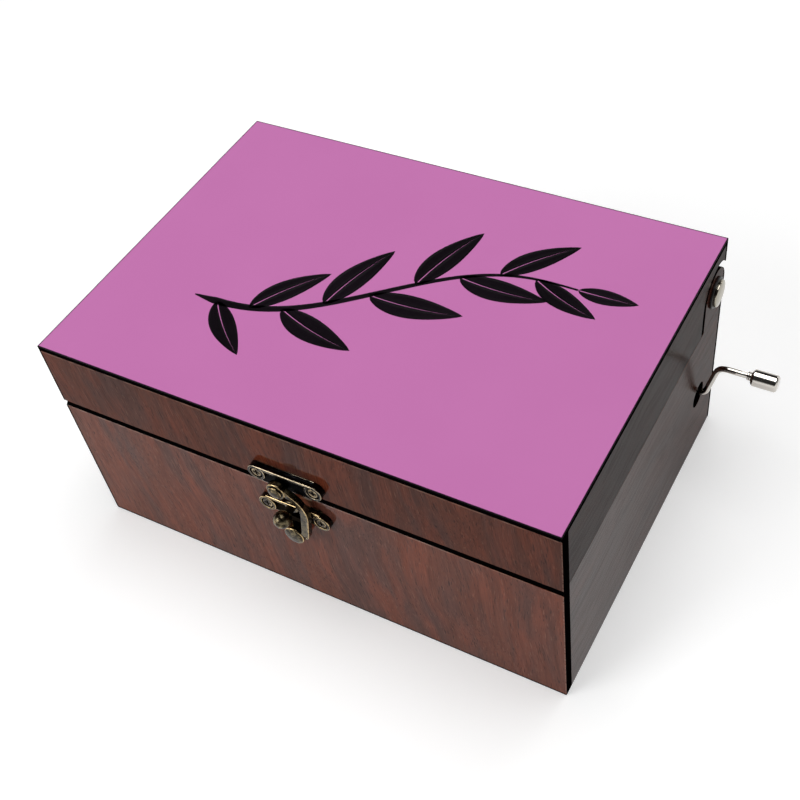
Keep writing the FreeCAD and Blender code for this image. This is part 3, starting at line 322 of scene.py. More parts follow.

# each panel: the axis its face looks along and that side's sign, the grain's turn and place, how light it
# is, and its lacquer's weight and blur; seam is the height of a pale line of painted highlight beside the
# opening, ends puts that line along the ends too, and fade is how much of a side wall's gloss is left at the back
# how light each panel is: its own colour, with painted shade on top, most on the side walls
panels = {
    "base_front_panel": dict(axis=1, side=-1, turn=(0, 0.07, 0), offset=3.0, tone=1.06, coat=0.42,
                             blur=0.05, seam=50.2, ends=True),
    "lid_front_rail": dict(axis=1, side=-1, turn=(0, 0.1, 0), offset=9.0, tone=0.74, coat=0.26,
                           blur=0.05, seam=73.1, ends=True),
    "base_right_panel": dict(axis=0, side=1, turn=(quarterTurn, 0, 0), offset=31.0, tone=0.38, coat=0.57,
                             blur=0.2, seam=51.2, fade=0.56),
    "lid_right_rail": dict(axis=0, side=1, turn=(quarterTurn, 0, 0), offset=37.0, tone=0.2, coat=0.28,
                           blur=0.2, fade=0.9),
    "base_left_panel": dict(axis=0, side=-1, turn=(quarterTurn, 0, 0), offset=51.0, tone=0.5, coat=0.45,
                            blur=0.14, seam=51.2, fade=0.72),
    "lid_left_rail": dict(axis=0, side=-1, turn=(quarterTurn, 0, 0), offset=57.0, tone=0.42, coat=0.4,
                          blur=0.14, fade=0.72),
    "base_back_panel": dict(axis=1, side=1, turn=(0, quarterTurn, 0), offset=71.0, tone=0.6, coat=0.42,
                            blur=0.12),
    "lid_spine_rail": dict(axis=1, side=1, turn=(0, quarterTurn, 0), offset=77.0, tone=0.5, coat=0.4,
                           blur=0.12),
}


def stain(name, tone=1.0):
    return tuple(part * tone for part in screenColour(*wood[name])[:3]) + (1.0,)


def veneerColour(tree, found, tone):
    colour = stain("mid", tone)
    for layer, share, name in veneerMix:
        colour = blendColour(tree, times(tree, found[layer], share), colour, stain(name, tone))
    return colour


def bareColour(tree, found):
    return blendColour(tree, times(tree, found["Streak"], boardLook["streak"]), stain("inner"),
                       stain("innerDark"))


def makePanelWood(node, own):
    look = veneerLook
    material, tree, surface = newMaterial(node + "Wood", Specular_IOR_Level=0.0, Coat_IOR=1.5,
                                          Coat_Roughness=own["blur"])
    low, high = corners(node)
    face = (high if own["side"] > 0 else -low)[own["axis"]]
    place = millimetres(tree)
    along = splitAxes(tree, place)
    depth = minus(tree, face, times(tree, along[own["axis"]], own["side"]))
    seam = sizeOf(tree, minus(tree, along["Z"], own.get("seam", look["noSeam"])))
    border = zoneLook["farAway"]
    if own.get("ends"):  # the painted highlight along the ends too, and a thin dark line at the left end and the foot
        seam = lower(tree, seam, minus(tree, high[0], sizeOf(tree, along["X"])))
        border = minus(tree, along["X"], low[0] - look["frontThinner"])
        if low[2] < 1:
            border = lower(tree, border, minus(tree, along["Z"], low[2] - look["frontThinner"]))
    elif own["axis"] == 0:  # a side wall is painted along its front and back edges
        border = lower(tree, minus(tree, high[1], along["Y"]),
                       minus(tree, along["Y"], low[1] - look["cornerThinner"]))
    found = placeGroup(tree, grain, {"Vector": millimetres(tree, own["turn"]), "Offset": own["offset"]})
    zone = placeGroup(tree, panelZones, {"Depth": depth, "Seam": seam, "Border": border, "Vector": place})
    colour = veneerColour(tree, found, own["tone"])
    # the pale line is painted highlight
    colour = blendColour(tree, times(tree, zone["Line"], look["line"] * own["tone"]), colour, stain("line"))
    colour = blendColour(tree, zone["Inner"], colour, bareColour(tree, found))
    colour = blendColour(tree, zone["Edge"], colour, stain("edge"))
    lacquered = minus(tree, 1.0, plus(tree, zone["Inner"], zone["Edge"], clamp=True))
    gloss = between(tree, found["Streak"], own["coat"], own["coat"] * look["streakGloss"])
    if "fade" in own:
        gloss = times(tree, gloss, soften(tree, along["Y"], low[1], high[1], look["frontGloss"], own["fade"]))
    put(tree, surface["Coat Weight"], times(tree, lacquered, gloss))
    finishSurface(tree, surface, colour, between(tree, found["Fibre"], *look["rough"]), found["Height"], look)
    return material


def makeBoardWood(name, node, offset):  # plain wood with its outer edges painted
    look = boardLook
    material, tree, surface = newMaterial(name, Specular_IOR_Level=0.0)
    high = corners(node)[1]
    along = splitAxes(tree, millimetres(tree))
    inwards = [minus(tree, high[axis], sizeOf(tree, along[axis])) for axis in (0, 1)]
    painted = soften(tree, lower(tree, *inwards), *look["paint"], 1.0, 0.0)
    found = placeGroup(tree, grain, {"Vector": millimetres(tree, (0, quarterTurn, 0)), "Offset": offset})
    pores = times(tree, found["Pore"], look["pore"])
    colour = blendColour(tree, pores, bareColour(tree, found), stain("pore"))
    colour = blendColour(tree, painted, colour, stain("edge"))
    finishSurface(tree, surface, colour, between(tree, found["Fibre"], *look["rough"]), found["Height"], look)
    return material


def dress(material, *names):
    for name in names:
        slots = nodes[name].data.materials
        if len(slots):
            for index in range(len(slots)):
                slots[index] = material
        else:
            slots.append(material)


for panelName, panel in panels.items():
    dress(makePanelWood(panelName, panel), panelName)
dress(makeBoardWood("floorBoard", "base_floor_panel", 91.0), "base_floor_panel")
dress(makeBoardWood("lidBoard", "lid_top_board", 97.0), "lid_top_board")
print("wood panels dressed")


# Metals

metals = {
    "bronzeDark": (30, 25, 20), "bronzeMid": (104, 94, 72), "bronzeBright": (212, 184, 136),
    # the lid plate's bronze is darker and bluer: painted shade and a painted bluish reflection
    "plateDark": (12, 12, 14), "plateMid": (36, 37, 42), "plateBright": (176, 160, 134),
    "pin": (164, 158, 144), "pinDark": (110, 106, 98), "steel": (204, 199, 192), "steelDark": (90, 88, 84),
    "brass": (236, 200, 118), "brassDark": (176, 132, 66),
    "plate": (206, 206, 204), "comb": (222, 222, 224), "combDark": (166, 168, 176), "screw": (214, 214, 214),
    "iron": (84, 86, 90), "ironLight": (118, 120, 124), "washer": (22, 21, 21), "washerLight": (48, 46, 45),
}
bronzeLook = {"rough": (0.26, 0.14), "bump": 0.16, "bumpDepth": 0.08}
polishedLook = {"grime": 0.4, "smudgeRough": 0.06, "bump": 0.04, "bumpDepth": 0.04}
brushedLook = {"smudge": 0.35, "lineRough": 0.14, "bump": 0.15, "bumpDepth": 0.04}
ironLook = {"fineness": 1.6, "colourLevels": (0.35, 0.7), "roughLevels": (0.3, 0.7), "skinRough": 0.2,
            "bump": 0.4, "bumpDepth": 0.1}

# a screw head's rings, as shares of its radius, and the level in its middle, the painted highlight on its ring
# and the painted shade round it
screwLook = {"hollow": 0.42, "ring": 0.66, "ringEnd": 0.74, "outside": 0.9, "hollowWear": -0.25,
             "ringWear": 0.62, "outsideLoss": 1.7}


def metal(name):
    return screenColour(*metals[name])


# painted highlight on a ring of two screw heads side by side and painted shade round them, from the distance
# to the nearer head's centre
def ringWear(tree, node):
    look = screwLook
    low, high = corners(node)
    middle, radius = (low + high) / 2, (high[2] - low[2]) / 2
    along = splitAxes(tree, millimetres(tree))
    sideways = minus(tree, sizeOf(tree, minus(tree, along["X"], middle[0])), (high[0] - low[0]) / 2 - radius)
    up = minus(tree, along["Z"], middle[2])
    away = maths(tree, "SQRT", plus(tree, times(tree, sideways, sideways), times(tree, up, up)))
    ring = soften(tree, away, radius * look["hollow"], radius * look["ring"], look["hollowWear"],
                  look["ringWear"])
    outside = soften(tree, away, radius * look["ringEnd"], radius * look["outside"], 0.0, look["outsideLoss"])
    return minus(tree, ring, outside)


def makeBronze(name, dark, mid, bright, screws=None):
    look = bronzeLook
    material, tree, surface = newMaterial(name, Specular_IOR_Level=0.0)
    # on the screws the wear given is painted highlight and shade
    wear = ringWear(tree, screws) if screws else pieceWear(tree)
    found = placeGroup(tree, tarnish, {"Vector": millimetres(tree), "Wear": wear})
    put(tree, surface["Metallic"], between(tree, found["Grime"], 1.0, 0.0))
    colour = blendColour(tree, found["Speckle"], metal(dark), metal(mid))
    colour = blendColour(tree, found["Bright"], colour, metal(bright))
    colour = blendColour(tree, found["Grime"], colour, metal(dark))
    worn = between(tree, found["Bright"], *look["rough"])
    finishSurface(tree, surface, colour, worn, found["Height"], look)
    return material


def makePolished(name, colour, dark, rough):
    look = polishedLook
    material, tree, surface = newMaterial(name, Metallic=1.0)
    place = millimetres(tree)
    found = placeGroup(tree, tarnish, {"Vector": place, "Wear": pieceWear(tree)})
    lines = placeGroup(tree, brushed, {"Vector": place})
    shade = blendColour(tree, times(tree, found["Grime"], look["grime"]), metal(colour), metal(dark))
    smudged = between(tree, lines["Smudge"], rough, rough + look["smudgeRough"])
    finishSurface(tree, surface, shade, smudged, found["Height"], look)
    return material


def makeBrushed(name, colour, dark, rough, turn=(0, 0, 0)):
    look = brushedLook
    material, tree, surface = newMaterial(name, Metallic=1.0)
    lines = placeGroup(tree, brushed, {"Vector": millimetres(tree, turn)})
    shade = blendColour(tree, times(tree, lines["Smudge"], look["smudge"]), metal(colour), metal(dark))
    lined = between(tree, lines["Line"], rough, rough + look["lineRough"])
    finishSurface(tree, surface, shade, lined, lines["Height"], look)
    return material


def makeIron(name, colour, light, rough):
    look = ironLook
    material, tree, surface = newMaterial(name, Metallic=0.3, Specular_IOR_Level=0.3)
    skin = noise(tree, millimetres(tree), (look["fineness"],) * 3, 4, 0.6)
    shade = blendColour(tree, soften(tree, skin, *look["colourLevels"]), metal(colour), metal(light))
    uneven = soften(tree, skin, *look["roughLevels"], rough, rough + look["skinRough"])
    finishSurface(tree, surface, shade, uneven, skin, look)
    return material


bronze = makeBronze("agedBronze", "bronzeDark", "bronzeMid", "bronzeBright")
# the lid plate's bronze: painted shade and a painted bluish reflection on the same metal
plateBronze = makeBronze("darkBronze", "plateDark", "plateMid", "plateBright")
chrome = makePolished("polishedSteel", "steel", "steelDark", 0.06)
pinSteel = makePolished("pinSteel", "pin", "pinDark", 0.14)
# near-black, for the rings under the pin heads
nearBlack = makeIron("blackenedSteel", "washer", "washerLight", 0.3)
plateSteel = makeBrushed("stampedSteel", "plate", "combDark", 0.36)
combSteel = makeBrushed("combSteel", "comb", "combDark", 0.22, (0, 0, quarterTurn))
brass = makeBrushed("drumBrass", "brass", "brassDark", 0.3)
screwSteel = makeBrushed("screwSteel", "screw", "steelDark", 0.28)
iron = makeIron("castIron", "iron", "ironLight", 0.45)

for screwNode, name, dark in (("lid_catch_screws", "lidScrewBronze", "plateDark"),
                              ("base_catch_screws", "baseScrewBronze", "bronzeDark")):
    dress(makeBronze(name, dark, "bronzeMid", "bronzeBright", screwNode), screwNode)
dress(plateSteel, "movement_bedplate", "rear_bearing_bracket", "front_bearing_bracket")
dress(screwSteel, "bed_screws", "bracket_screws", "comb_screws", "drum_shaft", "crank_worm")
dress(brass, "drum_bushes", "crank_bushes", "pinned_drum", "drum_end_caps", "drum_gear")
dress(combSteel, "tuned_comb")
dress(iron, "comb_block")
print("metals dressed")


# Surfaces: every new piece is one or more sheets, each a grid of points in mm, its wear and whether it closes

mergeDistance = 0.003
edgeLook = {"sideShare": 0.45, "quietReach": 1.7, "quietShare": 0.49, "quietWear": 0.15, "endWear": 0.35}


def gridFaces(rows, columns, start, closed):  # one quad between neighbours; closed joins the last column on
    row = np.arange(rows - 1)[:, None] * columns
    column = np.arange(columns if closed else columns - 1)[None, :]
    after = (column + 1) % columns
    return np.stack([row + column, row + after, row + columns + after, row + columns + column],
                    -1).reshape(-1, 4) + start


def addPiece(name, sheets, material, body, slotName, *replaced):
    points, faces, wear, start = [], [], [], 0
    for grid, worn, closed in sheets:
        rows, columns = grid.shape[:2]
        points.append(grid.reshape(-1, 3) * mm)
        wear.append(np.broadcast_to(worn, (rows, columns)).ravel())
        faces.append(gridFaces(rows, columns, start, closed))
        start += rows * columns
    mesh = bpy.data.meshes.new(name)
    mesh.from_pydata(np.concatenate(points).tolist(), [], np.concatenate(faces).tolist())
    attribute = mesh.attributes.new("wear", "FLOAT", "POINT")
    attribute.data.foreach_set("value", np.concatenate(wear).astype(np.float32))
    shape = bmesh.new()
    shape.from_mesh(mesh)
    bmesh.ops.remove_doubles(shape, verts=shape.verts, dist=mergeDistance * mm)
    bmesh.ops.recalc_face_normals(shape, faces=shape.faces)
    shape.to_mesh(mesh)
    shape.free()
    mesh.shade_smooth()
    mesh.materials.append(material)
    piece = bpy.data.objects.new(name, mesh)
    bpy.context.scene.collection.objects.link(piece)
    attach(piece, body)
    if replaced:
        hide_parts(*replaced)


def replaceNode(name, sheets, material, node):  # a piece that takes a CAD node's place and body
    addPiece(name, sheets, material, owners[node], slotNames[node], node)


# a line through corners (across, along, rounding, wear): each rounded corner becomes a small curve that
# blends its two sides, (1-t)^2 a + 2t(1-t) corner + t^2 b, with a quieter point on either side of it
def roundedLine(path, closed=False, steps=5):
    line = []
    for index, (across, along, rounding, worn) in enumerate(path):
        here = np.array([across, along], float)
        atEnd = not closed and index in (0, len(path) - 1)
        if rounding == 0 or atEnd:
            line.append((across, along, worn))
            continue
        before = np.array(path[index - 1][:2], float) - here
        after = np.array(path[(index + 1) % len(path)][:2], float) - here
        lengths = np.hypot(*before), np.hypot(*after)
        reach = min(rounding, edgeLook["sideShare"] * min(lengths))
        first, last = before / lengths[0], after / lengths[1]
        t = np.linspace(0, 1, steps)
        curve = (((1 - t) ** 2)[:, None] * first + (t ** 2)[:, None] * last) * reach + here
        quiet = [min(edgeLook["quietReach"] * reach, edgeLook["quietShare"] * length) for length in lengths]
        share = edgeLook["endWear"] + (1 - edgeLook["endWear"]) * np.sin(math.pi * t)
        line.append((*(here + first * quiet[0]), worn * edgeLook["quietWear"]))
        line += [(*point, worn * part) for point, part in zip(curve, share)]
        line.append((*(here + last * quiet[1]), worn * edgeLook["quietWear"]))
    if closed:
        line.append(line[0])
    return np.array(line)


# a turned form: the profile (radius, height, rounding, wear) goes once round the axis from the centre, so a
# point is centre + radius (side cos a + other sin a) + height axis
def turned(profile, centre, axis, closed=False, steps=56):
    line = roundedLine(profile, closed)
    angle = np.arange(steps) / steps * 2 * math.pi
    axis = np.array(axis, float)
    side = np.array([0, 0, 1.0]) if abs(axis[2]) < 0.5 else np.array([1.0, 0, 0])
    other = np.cross(axis, side)
    spoke = np.cos(angle)[:, None] * side + np.sin(angle)[:, None] * other
    grid = line[:, 0, None, None] * spoke[None] + line[:, 1, None, None] * axis + np.array(centre, float)
    return grid, line[:, 2, None], True


def turnedOnWall(profile, x, z, wall, closed=False):  # a turned form that stands out from the front wall
    return turned(profile, (x, wall, z), (0, -1, 0), closed)


# the bead, the start and the end of the straight side, and the quiet ring on the face, in edge widths
blockLook = {"centreGap": 0.002, "beadShare": 0.13, "bead": (0.5, 0.9), "sideStart": 1.6, "sideEnd": 1.8,
             "quietInset": 2.0, "quietShare": 0.8, "smallestRadius": 0.001}


# a block with rounded corners and a rounded front: rings of one outline, each drawn in by its own inset and
# set at its own depth; on the front edge the inset is edge (1 - cos a) and the depth goes with sin a; foot
# is the wear of a thin bead where it starts, which stands out by beadShare of it; that wear makes the bead a
# bright line, a painted highlight
def block(low, high, rounding, edge, start, end, depthAxis, side=5, face=0.0, foot=0.0):
    look = blockLook
    low, high = np.array(low, float), np.array(high, float)
    half, middle = (high - low) / 2, (high + low) / 2
    reach, bead = half.min() - look["centreGap"], -look["beadShare"] * foot
    ahead = math.copysign(edge, end - start)
    rows = [(reach, start, 0.0), (edge, start, 0.0)]
    rows += [(bead, start + ahead * share, foot) for share in look["bead"]]
    rows += [(0.0, start + ahead * look["sideStart"], 0.0), (0.0, end - ahead * look["sideEnd"], 0.0)]
    rows += [(edge * (1 - math.cos(a)), end - ahead * (1 - math.sin(a)), 1.0)
             for a in np.linspace(0, math.pi / 2, 5)]
    rows += [(min(edge * look["quietInset"], reach * look["quietShare"]), end, face), (reach, end, face)]
    inset, depth, worn = np.array(rows).T
    turn = (np.arange(4)[:, None] * math.pi / 2 + np.linspace(0, math.pi / 2, side)[None]).ravel()
    signs = np.repeat([(1, 1), (-1, 1), (-1, -1), (1, -1)], side, axis=0)
    radius = np.maximum(rounding - inset, look["smallestRadius"])[:, None]
    grid = np.zeros((len(rows), len(turn), 3))
    spread = [axis for axis in range(3) if axis != depthAxis]
    for part, (axis, bend) in enumerate(zip(spread, (np.cos(turn), np.sin(turn)))):
        straight = signs[:, part] * (half[part] - inset[:, None] - radius)
        grid[..., axis] = straight + radius * bend + middle[part]
    grid[..., depthAxis] = depth[:, None]
    return grid, worn[:, None], True


# a bar along a line in the XZ plane: the section (sideways, along Y, wear) stands square to the line at
# every point, and is drawn together there by its scale, and less along Y, by scale^0.35
def swept(path, section, level, scale=None, powerAlongY=0.35):
    path = np.array(path, float)
    ahead = np.gradient(path, axis=0)
    ahead /= np.linalg.norm(ahead, axis=1)[:, None]
    sideways = np.stack([-ahead[:, 1], ahead[:, 0]], -1)
    size = np.ones(len(path)) if scale is None else np.array(scale, float)
    flat = path[:, None] + sideways[:, None] * (section[None, :, 0, None] * size[:, None, None])
    middle = section[:, 1].mean()
    out = level + middle + (section[None, :, 1] - middle) * np.maximum(size, 0)[:, None] ** powerAlongY
    return np.stack([flat[..., 0], out, flat[..., 1]], -1), section[None, :, 2] * np.ones((len(path), 1))


def capped(grid):  # a bar's first and last ring are drawn together to a point each
    first, last = (ring.mean(axis=1, keepdims=True) * np.ones_like(ring) for ring in (grid[:1], grid[-1:]))
    return np.concatenate([first, grid, last])


# Catch

plateLook = {"lobeRadius": 2.75, "cupRadius": 2.0, "cupDepth": 1.0, "sheet": 0.9, "corner": 0.4, "edge": 0.22,
             "rim": 1.1, "rimCorner": 0.3, "rimEdge": 0.25}
# face darkens the lid plate's flat face under its rim: patina, with painted shade
lidPlateLook = {"seatRadius": 2.1, "seatBelowLobe": 0.05, "face": -0.55, "bead": 0.9}
basePlateLook = {"ballSeatRadius": 2.3, "ballSeatDome": 0.3, "tongueHalf": 2.3, "tongueEdge": 0.2,
                 "tongueFace": -0.8, "bossRadius": 3.2, "bossDome": 0.7, "bossShoulder": (0.7, 0.3),
                 "rimOverBall": 1.5, "skirt": 3.4, "lobeOverScrew": 0.2, "face": -1.0, "bead": 0.7}


def plateBody(left, right, bottom, top, wall, depth, own):  # a sheet with a deep rim along its top
    look = plateLook
    return [block((left, bottom), (right, top), look["corner"], look["edge"], wall, wall - look["sheet"], 1,
                  face=own["face"]),
            block((left, top - look["rim"]), (right, top), look["rimCorner"], look["rimEdge"], wall,
                  wall - depth, 1, foot=own["bead"])]


def lobes(left, right, height, wall, depth):  # two screw lobes: short drums with a round hollow in the face
    radius, hollow, bottom = plateLook["lobeRadius"], plateLook["cupRadius"], depth - plateLook["cupDepth"]
    profile = [(0, 0, 0, 0), (radius, 0, 0, 0), (radius, depth, 0.25, 1.0), (hollow, depth, 0.14, 0.9),
               (hollow - 0.05, bottom, 0.2, -0.8), (0, bottom, 0, -0.5)]
    return [turnedOnWall(profile, x, height, wall) for x in (left, right)]


def makeLidPlate():
    own, lobe = lidPlateLook, plateLook["lobeRadius"]
    low, high = corners("catch_lid_plate")
    screwLow, screwHigh = corners("lid_catch_screws")
    pivot = pivots["hook_swing"]
    wall, depth = high[1], high[1] - low[1]
    left, right = low[0] + lobe, high[0] - lobe
    radius, seatDepth = own["seatRadius"], depth - own["seatBelowLobe"]
    seat = [(0, 0, 0, 0), (radius, 0, 0, 0), (radius, seatDepth, 0.2, 0.8), (0, seatDepth, 0, 0)]
    sheets = [*plateBody(left, right, low[2], high[2], wall, depth, own),
              turnedOnWall(seat, pivot[0], pivot[2], wall),
              *lobes(left, right, (screwLow[2] + screwHigh[2]) / 2, wall, depth)]
    replaceNode("catchLidPlate", sheets, plateBronze, "catch_lid_plate")


def makeBasePlate():
    own, lobe = basePlateLook, plateLook["lobeRadius"]
    wall = corners("catch_lid_plate")[1][1]
    ballLow, ballHigh = corners("catch_ball_stud")
    low, high = corners("catch_base_plate")
    screwLow, screwHigh = corners("base_catch_screws")
    ballX, ballZ = (ballLow[0] + ballHigh[0]) / 2, (ballLow[2] + ballHigh[2]) / 2
    lobeHeight, depth = (screwLow[2] + screwHigh[2]) / 2, wall - screwLow[1] + own["lobeOverScrew"]
    left, right = low[0] + lobe, high[0] - lobe
    half, cut = own["tongueHalf"], own["tongueEdge"]
    radius, seatRadius = own["bossRadius"], own["ballSeatRadius"]
    bossZ, bossDepth = low[2] + radius, wall - low[1] - own["bossDome"]
    inwards, outwards = own["bossShoulder"]
    seat = [(0, 0, 0, 0), (seatRadius, 0, 0, 0), (seatRadius, depth - own["ballSeatDome"], 0.3, 0.3),
            (0, depth, 0, -0.4)]
    boss = [(0, 0, 0, 0), (radius, 0, 0, 0), (radius, bossDepth, 0.35, 1.0),
            (radius - inwards, bossDepth + outwards, 0.4, 0.5), (0, bossDepth + own["bossDome"], 0, 0.45)]
    bottom, rimTop = lobeHeight - own["skirt"], ballZ + own["rimOverBall"]
    sheets = [*plateBody(left, right, bottom, rimTop, wall, depth, own),
              block((ballX - half, bossZ), (ballX + half, lobeHeight), cut, cut, wall,
                    wall - plateLook["sheet"], 1, face=own["tongueFace"]),
              turnedOnWall(seat, ballX, ballZ, wall),
              turnedOnWall(boss, ballX, bossZ, wall),
              *lobes(left, right, lobeHeight, wall, depth)]
    replaceNode("catchBasePlate", sheets, bronze, "catch_base_plate")


ballLook = {"radius": 2.6, "neckRadius": 1.2, "neckFoot": 1.25, "wear": 0.45}


def makeBall():  # a ball on a waisted neck: the sphere's profile is (R sin a, R cos a)
    own = ballLook
    low, high = corners("catch_ball_stud")
    radius, neck = own["radius"], own["neckRadius"]
    out = high[1] - low[1] - radius
    shape = [(0, 0, 0, 0), (neck * own["neckFoot"], 0, 0, -0.3), (neck, out - radius, 0, -0.6)]
    # the wear peaks at the front, cos^3 of the angle: a worn front that is also a painted highlight
    shape += [(radius * math.sin(turn), out + radius * math.cos(turn), 0, own["wear"] * math.cos(turn) ** 3)
              for turn in np.linspace(math.pi - math.asin(neck / radius), 0, 22)]
    stud = turnedOnWall(shape, (low[0] + high[0]) / 2, (low[2] + high[2]) / 2, high[1])
    replaceNode("catchBall", [stud], bronze, "catch_ball_stud")


hookLook = {"sweepRadius": 7.4, "sweepDrop": 7.2, "tipReach": 5.8, "strapWidth": 2.7, "lipWidth": 0.75,
            "lipHeight": 0.35, "curlStart": 0.9, "curlRadius": 4.0, "curlTurn": 0.3, "eyeRadius": 2.9,
            "eyeHole": 1.27, "eyeLip": 0.75, "eyeDish": 0.12}


# the strap's line: an arc that starts over the pivot, a straight run on its tangent, and a curl. The arc ends
# where the line to the tip touches it, at the angle to the tip + acos(radius / distance)
def strapLine(pivot, lowest):
    own, half = hookLook, hookLook["strapWidth"] / 2
    radius, bend = own["sweepRadius"], own["curlRadius"]
    centre = np.array([pivot[0], pivot[2] - own["sweepDrop"]])
    tip = np.array([pivot[0] + own["tipReach"], lowest + half])
    toTip = tip - centre
    leave = math.atan2(toTip[1], toTip[0]) + math.acos(radius / np.hypot(*toTip))
    angle = np.linspace(math.pi / 2, leave, 40)
    arc = centre + radius * np.stack([np.cos(angle), np.sin(angle)], -1)
    heading = (tip - arc[-1]) / np.linalg.norm(tip - arc[-1])
    run = arc[-1] + (tip - heading * own["curlStart"] - arc[-1]) * np.linspace(0, 1, 10)[1:, None]
    first = math.atan2(-heading[0], heading[1]) + math.pi
    centre = run[-1] - bend * np.array([math.cos(first), math.sin(first)])
    angle = first - np.linspace(0, own["curlTurn"], 12)[1:]
    curl = centre + bend * np.stack([np.cos(angle), np.sin(angle)], -1)
    heading = np.array([math.sin(angle[-1]), -math.cos(angle[-1])])
    turn = np.linspace(0, math.pi / 2, 9)[1:]
    cap = curl[-1] + heading * (half * np.sin(turn))[:, None]  # the round end: half sin a ahead, cos a wide
    whole = len(arc) + len(run) + len(curl)
    return np.concatenate([arc, run, curl, cap]), np.append(np.ones(whole), np.maximum(np.cos(turn), 0.002))


def makeHook():  # the strap, with a raised lip along its outer edge, and a dished eye round the pivot
    own = hookLook
    low, high = corners("catch_hook")
    pivot, thick, half = pivots["hook_swing"], high[1] - low[1], own["strapWidth"] / 2
    path, scale = strapLine(pivot, low[2])
    floor = own["lipHeight"] - thick
    section = roundedLine([(-half, 0, 0.2, 0.2), (-half, floor, 0.35, 0.5),
                           (half - own["lipWidth"], floor, 0.2, -0.3),
                           (half - own["lipWidth"] + 0.2, -thick, 0.2, 0.8), (half, -thick, 0.3, 1.0),
                           (half, 0, 0.2, 0.2)], True)
    grid, worn = swept(path, section[:-1], high[1], scale)
    strap = (capped(grid), np.concatenate([worn[:1], worn, worn[-1:]]), True)
    hole, eye, dish = own["eyeHole"], own["eyeRadius"], thick - own["eyeDish"]
    lip = eye - own["eyeLip"]
    ring = [(hole, 0, 0, 0), (eye, 0, 0.2, 0.2), (eye, thick, 0.4, 1.0), (lip, thick, 0.15, 0.5),
            (lip - 0.05, dish, 0.1, -0.5), (hole, dish, 0, -0.5)]
    sheets = [strap, turnedOnWall(ring, pivot[0], pivot[2], high[1], closed=True)]
    replaceNode("catchHook", sheets, bronze, "catch_hook")


rivetLook = {"shaftRadius": 1.2, "headRadius": 2.1, "headHeight": 0.88, "shoulder": 0.5, "crownShare": 0.6,
             "crown": 0.1}


def makeRivet():  # a shaft, a low head with a worn shoulder, and a slight crown
    own = rivetLook
    low, high = corners("catch_hook_rivet")
    pivot, shaft, head = pivots["hook_swing"], own["shaftRadius"], own["headRadius"]
    front = high[1] - low[1]
    under = front - own["headHeight"]
    shape = [(0, 0, 0, 0), (shaft, 0, 0, 0), (shaft, under, 0, 0), (head, under, 0.1, 0.3),
             (head, front - own["shoulder"], 0.25, 0.9),
             (head * own["crownShare"], front - own["crown"], 0.5, 0.5), (0, front, 0, 0.4)]
    replaceNode("catchRivet", [turnedOnWall(shape, pivot[0], pivot[2], high[1])], bronze, "catch_hook_rivet")


makeLidPlate()
makeBasePlate()
makeBall()
makeHook()
makeRivet()
print("catch made")


# Crank and hinge pins

rodLook = {"wire": 0.95, "knee": 82.0, "kneeBend": 1.9, "elbow": 85.4, "elbowBend": 2.8}


def makeRod():  # a round section, wire (cos a, sin a), along a line with two rounded bends
    own = rodLook
    low, high = corners("crank_rod")
    wire = own["wire"]
    bottom, top, level = low[2] + wire, high[2] - wire, (low[1] + high[1]) / 2
    line = roundedLine([(low[0], bottom, 0, 0), (own["knee"], bottom, own["kneeBend"], 0),
                        (own["elbow"], top, own["elbowBend"], 0), (high[0], top, 0, 0)], steps=13)[:, :2]
    turn = np.linspace(0, 2 * math.pi, 28, endpoint=False)
    section = np.stack([wire * np.cos(turn), wire * np.sin(turn), 0 * turn], -1)
    replaceNode("crankRod", [(capped(swept(line, section, level)[0]), 0.0, True)], chrome, "crank_rod")


def turnedAlong(shape, low, high, closed=False):  # a turned form along X, from the middle of its left end
    return turned(shape, (low[0], (low[1] + high[1]) / 2, (low[2] + high[2]) / 2), (1, 0, 0), closed)


knobLook = {"bore": 1.03, "chamfer": 0.55, "endWall": 0.68, "wear": 0.5}


def makeKnob():  # a drum with a chamfer at both ends, bored from the left
    own = knobLook
    low, high = corners("crank_knob")
    length, radius = high[0] - low[0], (high[2] - low[2]) / 2
    bore, cut, worn, boreEnd = own["bore"], own["chamfer"], own["wear"], length - own["endWall"]
    shape = [(0, boreEnd, 0, 0), (bore, boreEnd, 0, 0), (bore, 0, 0.12, worn), (radius - cut, 0, 0.15, worn),
             (radius, cut, 0.2, worn), (radius, length - cut, 0.2, worn), (radius - cut, length, 0.15, worn),
             (radius * 0.5, length, 0, 0), (0, length, 0, 0)]
    replaceNode("crankKnob", [turnedAlong(shape, low, high)], chrome, "crank_knob")


collarLook = {"pinch": 0.03, "groove": 0.22, "grooveEnds": (0.42, 0.58), "wear": 0.6}


def makeCollar():  # two rings side by side, with a groove between them
    own = collarLook
    low, high = corners("crank_collar")
    length, radius, worn = high[0] - low[0], (high[2] - low[2]) / 2, own["wear"]
    bore, ends = rodLook["wire"] - own["pinch"], own["grooveEnds"]
    shape = [(bore, 0, 0, 0), (radius, 0, 0.15, worn), (radius, length * ends[0], 0.12, worn),
             (radius - own["groove"], length * 0.5, 0.1, -worn), (radius, length * ends[1], 0.12, worn),
             (radius, length, 0.15, worn), (bore, length, 0, 0)]
    replaceNode("crankCollar", [turnedAlong(shape, low, high, closed=True)], chrome, "crank_collar")


pinLook = {"radius": 1.5, "reach": 12, "head": 4.05, "side": 0.9, "crownShare": 0.62, "crown": 0.12}
washerLook = {"bore": 1.56, "gap": 0.05}


